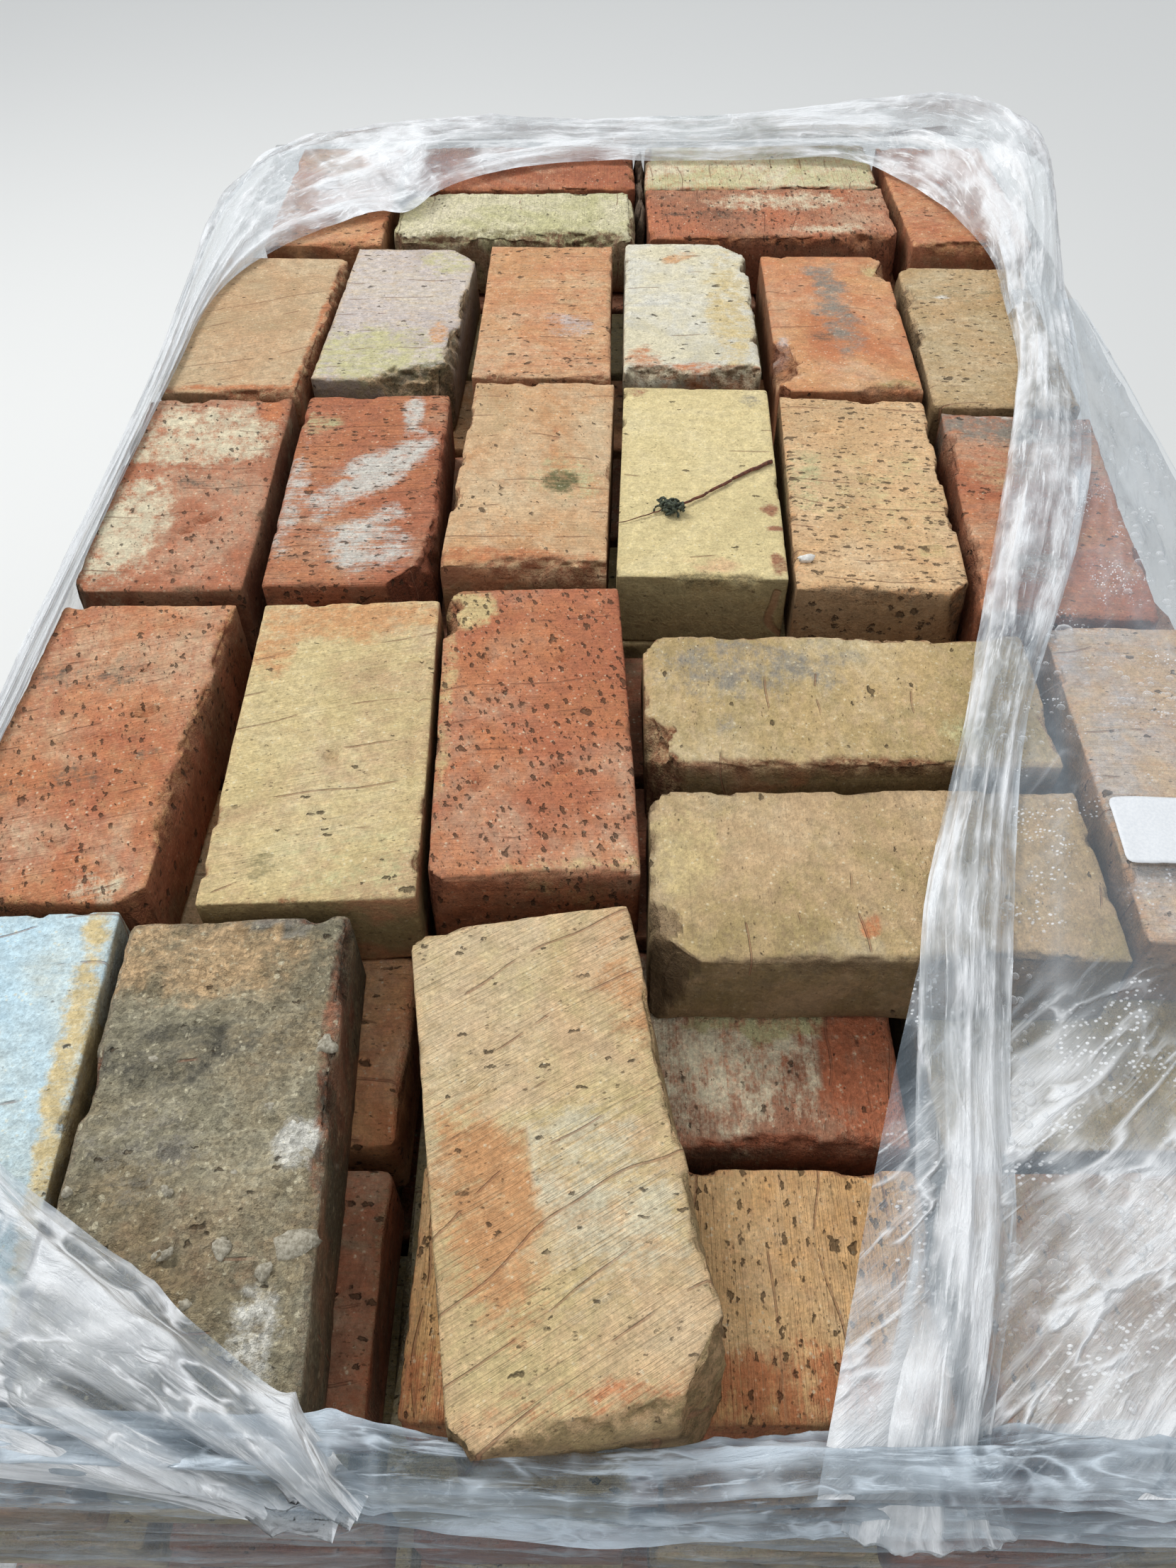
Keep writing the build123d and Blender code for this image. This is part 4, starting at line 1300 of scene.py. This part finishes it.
def add_drops(sheet, groups, seed):
    """Water drops on a sheet: groups of a place, a spread along X and Y, how many and how large."""
    dice = random.Random(seed)
    corners = np.array([vertex.co[:] for vertex in sheet.data.vertices])
    outs = np.array([vertex.normal[:] for vertex in sheet.data.vertices])
    outs *= np.where(outs[:, 2:] < 0, -1, 1)
    drops = []
    for x, y, spread_x, spread_y, count, size in groups:
        for _ in range(count):
            place = np.array([x + dice.gauss(0, spread_x), y + dice.gauss(0, spread_y)]) * MM
            gaps = np.hypot(corners[:, 0] - place[0], corners[:, 1] - place[1])
            closest = gaps.argmin()
            if gaps[closest] > 5 * MM:
                continue
            radius = size * MM * math.exp(dice.gauss(0, 0.4))
            drops.append(dome(corners[closest], outs[closest], radius, radius * 0.62))
    loose("water_drops", drops, drop_material())


def stone(size, seed, sides=14, rings=9):
    """A small rounded stone with uneven sides."""
    points = []
    for ring, side in product(range(1, rings), range(sides)):
        angle, turn = math.pi * ring / rings, 2 * math.pi * side / sides
        points.append((math.sin(angle) * math.cos(turn), math.sin(angle) * math.sin(turn), math.cos(angle)))
    points = np.array(points + [(0, 0, 1), (0, 0, -1)])
    uneven = 1 + 0.42 * layered(points + seed * 5.1, 0.8, seed, 3)
    faces = [(here, above, across, after) for here, after, across, above in belts(rings - 1, sides)]
    top, low, last = len(points) - 2, len(points) - 1, (rings - 2) * sides
    faces += [(top, side, (side + 1) % sides) for side in range(sides)]
    faces += [(low, last + (side + 1) % sides, last + side) for side in range(sides)]
    return points * uneven[:, None] * np.array(size) * MM / 2, faces


def stone_material(name, light, dark):
    material, tree, shader = new_material(name)
    here = own_place(tree)
    grain = noise(here, 500, 5, 0.7)
    tone = mix(step(grain, 0.35, 0.65), linear(dark), linear(light))
    feed(shader, {"Base Color": tone, "Roughness": 0.85, "Normal": bump(grain, 0.6, 0.001)})
    return material


def add_stones(name, stones, light, dark, seed):
    """Crumbs and pebbles lying on the bricks: place, height over the top, size and turn."""
    parts = []
    for number, (x, y, rise, *size, turn) in enumerate(stones, seed):
        points, faces = stone(size, number)
        place = np.array([x * MM, y * MM, TOP + rise * MM])
        parts.append((turned(points, math.radians(turn)) + place, faces))
    loose(name, parts, stone_material(name, light, dark))


def tube(route, radii, sides=7):
    """A bent round bar along a route of points, its radius given at each."""
    route = np.array(route, float)
    points = []
    for number, place in enumerate(route):
        ahead = Vector(route[min(number + 1, len(route) - 1)] - route[max(number - 1, 0)]).normalized()
        across = ahead.orthogonal().normalized()
        over = ahead.cross(across)
        for side in range(sides):
            angle = 2 * math.pi * side / sides
            out = across * math.cos(angle) + over * math.sin(angle)
            points.append(Vector(place) + out * radii[number])
    ends = [tuple(range(sides - 1, -1, -1)), tuple(range(len(points) - sides, len(points)))]
    return points, belts(len(route), sides) + ends


TWIG = [
    (2, -52, 1.0), (20, -44, 1.2), (38, -36, 2.4), (56, -25, 1.8),
    (76, -8, 1.6), (92, 6, 1.5), (112, 20, 1.6),
]
MOSS_PLACE = (38, -37)


def add_twig_and_moss():
    """A thin dry twig and a curled clod of moss on the pale brick."""
    dice = random.Random(8)
    route = smooth_line(np.array(TWIG), 40)
    route[:, :2] += 0.5 * np.array([[dice.uniform(-1, 1), dice.uniform(-1, 1)] for _ in route])
    route[:, 2] += TOP / MM
    radii = np.interp(np.linspace(0, 1, len(route)), [0, 0.3, 0.5, 0.8, 1], [0.25, 0.5, 1.0, 1.2, 1.5]) * MM
    loose("dry_twig", [tube(route * MM, radii)], stone_material("dry_twig", "7d4a36", "4a2b20"))
    strands = []
    for _ in range(60):
        x, y = MOSS_PLACE[0] + dice.gauss(0, 3.6), MOSS_PLACE[1] + dice.gauss(0, 2.6)
        turn = dice.uniform(0, 6.28)
        bend = dice.uniform(1.6, 3.4)
        rise = dice.uniform(1, 6) + TOP / MM
        part = np.linspace(0, 3.2, 8)
        loop = [x + bend * np.cos(turn + part), y + bend * np.sin(turn + part), rise + 2.2 * np.sin(part)]
        strands.append(tube(np.column_stack(loop) * MM, [dice.uniform(0.6, 1.1) * MM] * len(part), 5))
    loose("moss_clod", strands, stone_material("moss_clod", "5b6350", "23261d"))


# Pallet

def wood_material(name, light, dark):
    """Rough-sawn weathered softwood with its grain along Y."""
    material, tree, shader = new_material(name)
    here = own_place(tree)
    place = mapped(here, Scale=(1, 0.06, 1))
    rings = node(tree, "TexWave", {"bands_direction": "X"}, {
        "Vector": place, "Scale": 60.0, "Distortion": 5.0, "Detail": 3.0, "Detail Scale": 1.5}, 0)
    fibre = noise(place, 420, 5, 0.7)
    cloud = noise(here, 7, 4)
    colour = mix(step(cloud, 0.4, 0.62), linear(light), linear(dark))
    colour = mix(step(rings, 0.35, 0.9, 0, 0.4), colour, linear("80705c"))
    colour = mix(step(fibre, 0.5, 0.75, 0, 0.5), colour, linear("6b5a45"))
    saw = noise(mapped(here, Scale=(0.1, 1, 1)), 300, 2)
    height = fibre * 1.0 + saw * 0.5
    height = rings * 0.4 + height
    normal = bump(height, 0.7, 0.0016)
    feed(shader, {"Base Color": colour, "Roughness": 0.86, "Specular IOR Level": 0.25, "Normal": normal})
    return material


def add_board(node_name, material, seed, along_x=False):
    """A sawn board or block with slightly broken edges, where the frame has it."""
    low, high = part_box(node_name)
    size = np.array(high - low)
    if along_x:
        size = size[[1, 0, 2]]
    points, faces = block_grid(tuple(size), [24 * MM] * 3, (0, 1.2 * MM, 3 * MM))
    half = size / 2
    points = rounded(points, half, 1.6 * MM * np.clip(1 + layered(points + seed, 50 * MM, seed), 0.4, 2))
    dent = np.minimum(layered(points + seed * 2, 90 * MM, seed + 3), 0)
    points = points * (1 + dent[:, None] * 0.3 * MM / half[2])
    piece = mesh_object("wood_" + node_name, points, faces, material)
    turn = Matrix.Rotation(math.pi / 2, 4, "Z") if along_x else Matrix.Identity(4)
    piece.matrix_world = Matrix.Translation((low + high) / 2) @ turn
    dress(piece, "pallet_wood", node_name)


def add_nails():
    """Nail heads where the deck boards cross the boards under them."""
    nails = []
    dice = random.Random(4)
    for number, cross in product(range(1, 6), range(1, 4)):
        low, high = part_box(f"deck_board_{number}")
        under_low, under_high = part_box(f"cross_board_{cross}")
        xs, ys = (low.x + 16 * MM, high.x - 16 * MM), (under_low.y + 30 * MM, under_high.y - 30 * MM)
        for x, y in product(xs, ys):
            place = (x + dice.uniform(-4, 4) * MM, y + dice.uniform(-8, 8) * MM, high.z - 0.4 * MM)
            nails.append(dome(place, (dice.uniform(-0.05, 0.05), 0, 1), 4.4 * MM, 1.0 * MM, 12, 3))
    loose("nail_heads", nails, stone_material("nail_steel", "77716a", "4b3a30"))


def add_pallet():
    """The block pallet: boards and blocks in three tones of weathered wood."""
    tones = [
        wood_material("wood_pale", "bda985", "a08d72"),
        wood_material("wood_grey", "a89d8c", "898074"),
        wood_material("wood_brown", "ab9272", "8b7760"),
    ]
    for number in range(1, 6):
        add_board(f"deck_board_{number}", tones[number % 3], number)
    for number in range(1, 4):
        add_board(f"cross_board_{number}", tones[(number + 1) % 3], 10 + number, True)
    for number in range(1, 10):
        add_board(f"block_{number}", tones[(number * 2) % 3], 20 + number)
    for number in range(1, 4):
        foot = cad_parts[f"foot_board_{number}"]
        foot.data.materials.clear()
        foot.data.materials.append(tones[number % 3])
    add_nails()


DROPS = [
    (250, -180, 12, 40, 60, 1.3), (300, -225, 18, 20, 60, 1.2), (330, -250, 10, 30, 40, 2.2),
    (210, -250, 10, 16, 30, 2.0), (345, -200, 6, 60, 40, 1.8), (356, -330, 16, 20, 90, 1.5),
    (340, -60, 20, 40, 50, 1.5), (180, -430, 10, 30, 60, 1.4), (200, -520, 40, 20, 90, 1.5),
    (290, -560, 50, 16, 80, 1.6), (130, -540, 14, 22, 50, 1.2), (376, -160, 6, 100, 50, 1.6),
]

MORTAR_STONES = [
    (-217, -532, 1, 10, 8, 5, 0), (-181, -533, 1, 9, 6, 4, 20), (-158, -531, 1, 8, 9, 4, 0),
    (-131, -528, -2, 17, 16, 7, 10), (-186, -508, 1, 7, 5, 4, 0), (-198, -470, 1, 5, 6, 4, 0),
    (-131, -440, 0, 9, 9, 5, 0), (-132, -492, 1, 7, 7, 4, 0), (-226, -508, 1, 5, 5, 3, 0),
    (-150, -470, 1, 6, 5, 3, 30), (-206, -448, 1, 5, 4, 3, 0), (-168, -552, 1, 6, 5, 3, 0),
    (-139, -478, 1, 6, 6, 4, 40), (-160, -500, 1, 6, 4, 3, 0), (-140, -540, 1, 8, 6, 4, 60),
    (-190, -552, 1, 5, 5, 3, 0),
]


def small_things(sheet):
    """Label, drops, twig, moss and stones."""
    add_label(film_heights(sheet))
    add_drops(sheet, DROPS, 12)
    add_twig_and_moss()
    add_stones("white_pebble", [(123, -91, 1.6, 12, 6, 4.5, 5)], "f1efe9", "d5d0c6", 3)
    crumbs = []
    for n in range(9):
        x, y = 300 + 5 * math.sin(3 * n) * n / 3, 52 + 2.2 * math.cos(5 * n) * n / 2
        crumbs.append((x, y, 1, 5 - n * 0.3, 4, 3.4, 40 * n))
    add_stones("white_crumbs", crumbs, "e9e6df", "c9c3b6", 20)
    add_stones("mortar_stones", MORTAR_STONES, "bab29f", "857d6a", 50)
    dirt = [(29, 598 - 24 * n, -27 - 2 * (n % 2), 9.5, 30, 44, 0) for n in range(7)]
    add_stones("joint_dirt", dirt, "6f5a45", "40352a", 70)


# Camera, floor and light

CAMERA_PLACE = (-0.008, -0.702, 1.3845)
CAMERA_PITCH = 48.32
CAMERA_ROLL = -0.64
CAMERA_YAW = -0.98
LENS = 27.03


def add_camera():
    """The photograph's point of view: close, from standing height over the short front end."""
    pitch, roll, yaw = (math.radians(angle) for angle in (CAMERA_PITCH, CAMERA_ROLL, CAMERA_YAW))
    ahead = Vector((math.sin(yaw) * math.cos(pitch), math.cos(yaw) * math.cos(pitch), -math.sin(pitch)))
    right = Vector((math.cos(yaw), -math.sin(yaw), 0))
    up = right.cross(ahead)
    across = right * math.cos(roll) + up * math.sin(roll)
    above = up * math.cos(roll) - right * math.sin(roll)
    data = bpy.data.cameras.new("camera")
    data.lens = LENS
    data.sensor_width = 36
    data.clip_start = 0.02
    camera = bpy.data.objects.new("camera", data)
    turn = Matrix((across, above, -ahead)).transposed()
    camera.matrix_world = Matrix.Translation(CAMERA_PLACE) @ turn.to_4x4()
    bpy.context.scene.collection.objects.link(camera)
    bpy.context.scene.camera = camera


def add_floor():
    """A plain pale floor."""
    material, tree, shader = new_material("floor")
    shade = step(noise(own_place(tree), 3, 3), 0.3, 0.7, 0.98, 1.0)
    tone = mix(shade, linear("d9d9d6"), linear("e2e2df"))
    feed(shader, {"Base Color": tone, "Roughness": 0.9})
    size = 40
    corners = [(-size, -size, 0), (size, -size, 0), (size, size, 0), (-size, size, 0)]
    mesh_object("floor", corners, [(0, 1, 2, 3)], material, False)


def area_lamp(name, place, target, size, power):
    data = bpy.data.lights.new(name, "AREA")
    data.shape = "DISK"
    data.size = size
    data.energy = power
    lamp = bpy.data.objects.new(name, data)
    direction = Vector(target) - Vector(place)
    lamp.matrix_world = Matrix.Translation(place) @ direction.to_track_quat("-Z", "Y").to_matrix().to_4x4()
    bpy.context.scene.collection.objects.link(lamp)


def add_light():
    """A pale overcast sky with one broad soft lamp."""
    world = bpy.data.worlds.new("sky")
    world.use_nodes = True
    sky = world.node_tree.nodes["Background"]
    sky.inputs["Color"].default_value = (0.93, 0.96, 1.0, 1)
    sky.inputs["Strength"].default_value = 0.78
    bpy.context.scene.world = world
    area_lamp("soft_lamp", (-1.8, 1.6, 3.6), (0, 0, 0.9), 1.6, 76)


bpy.context.scene.view_settings.view_transform = "Standard"
add_camera()
add_floor()
add_light()
all_bricks()
film_walls()
small_things(film_on_top())
add_pallet()
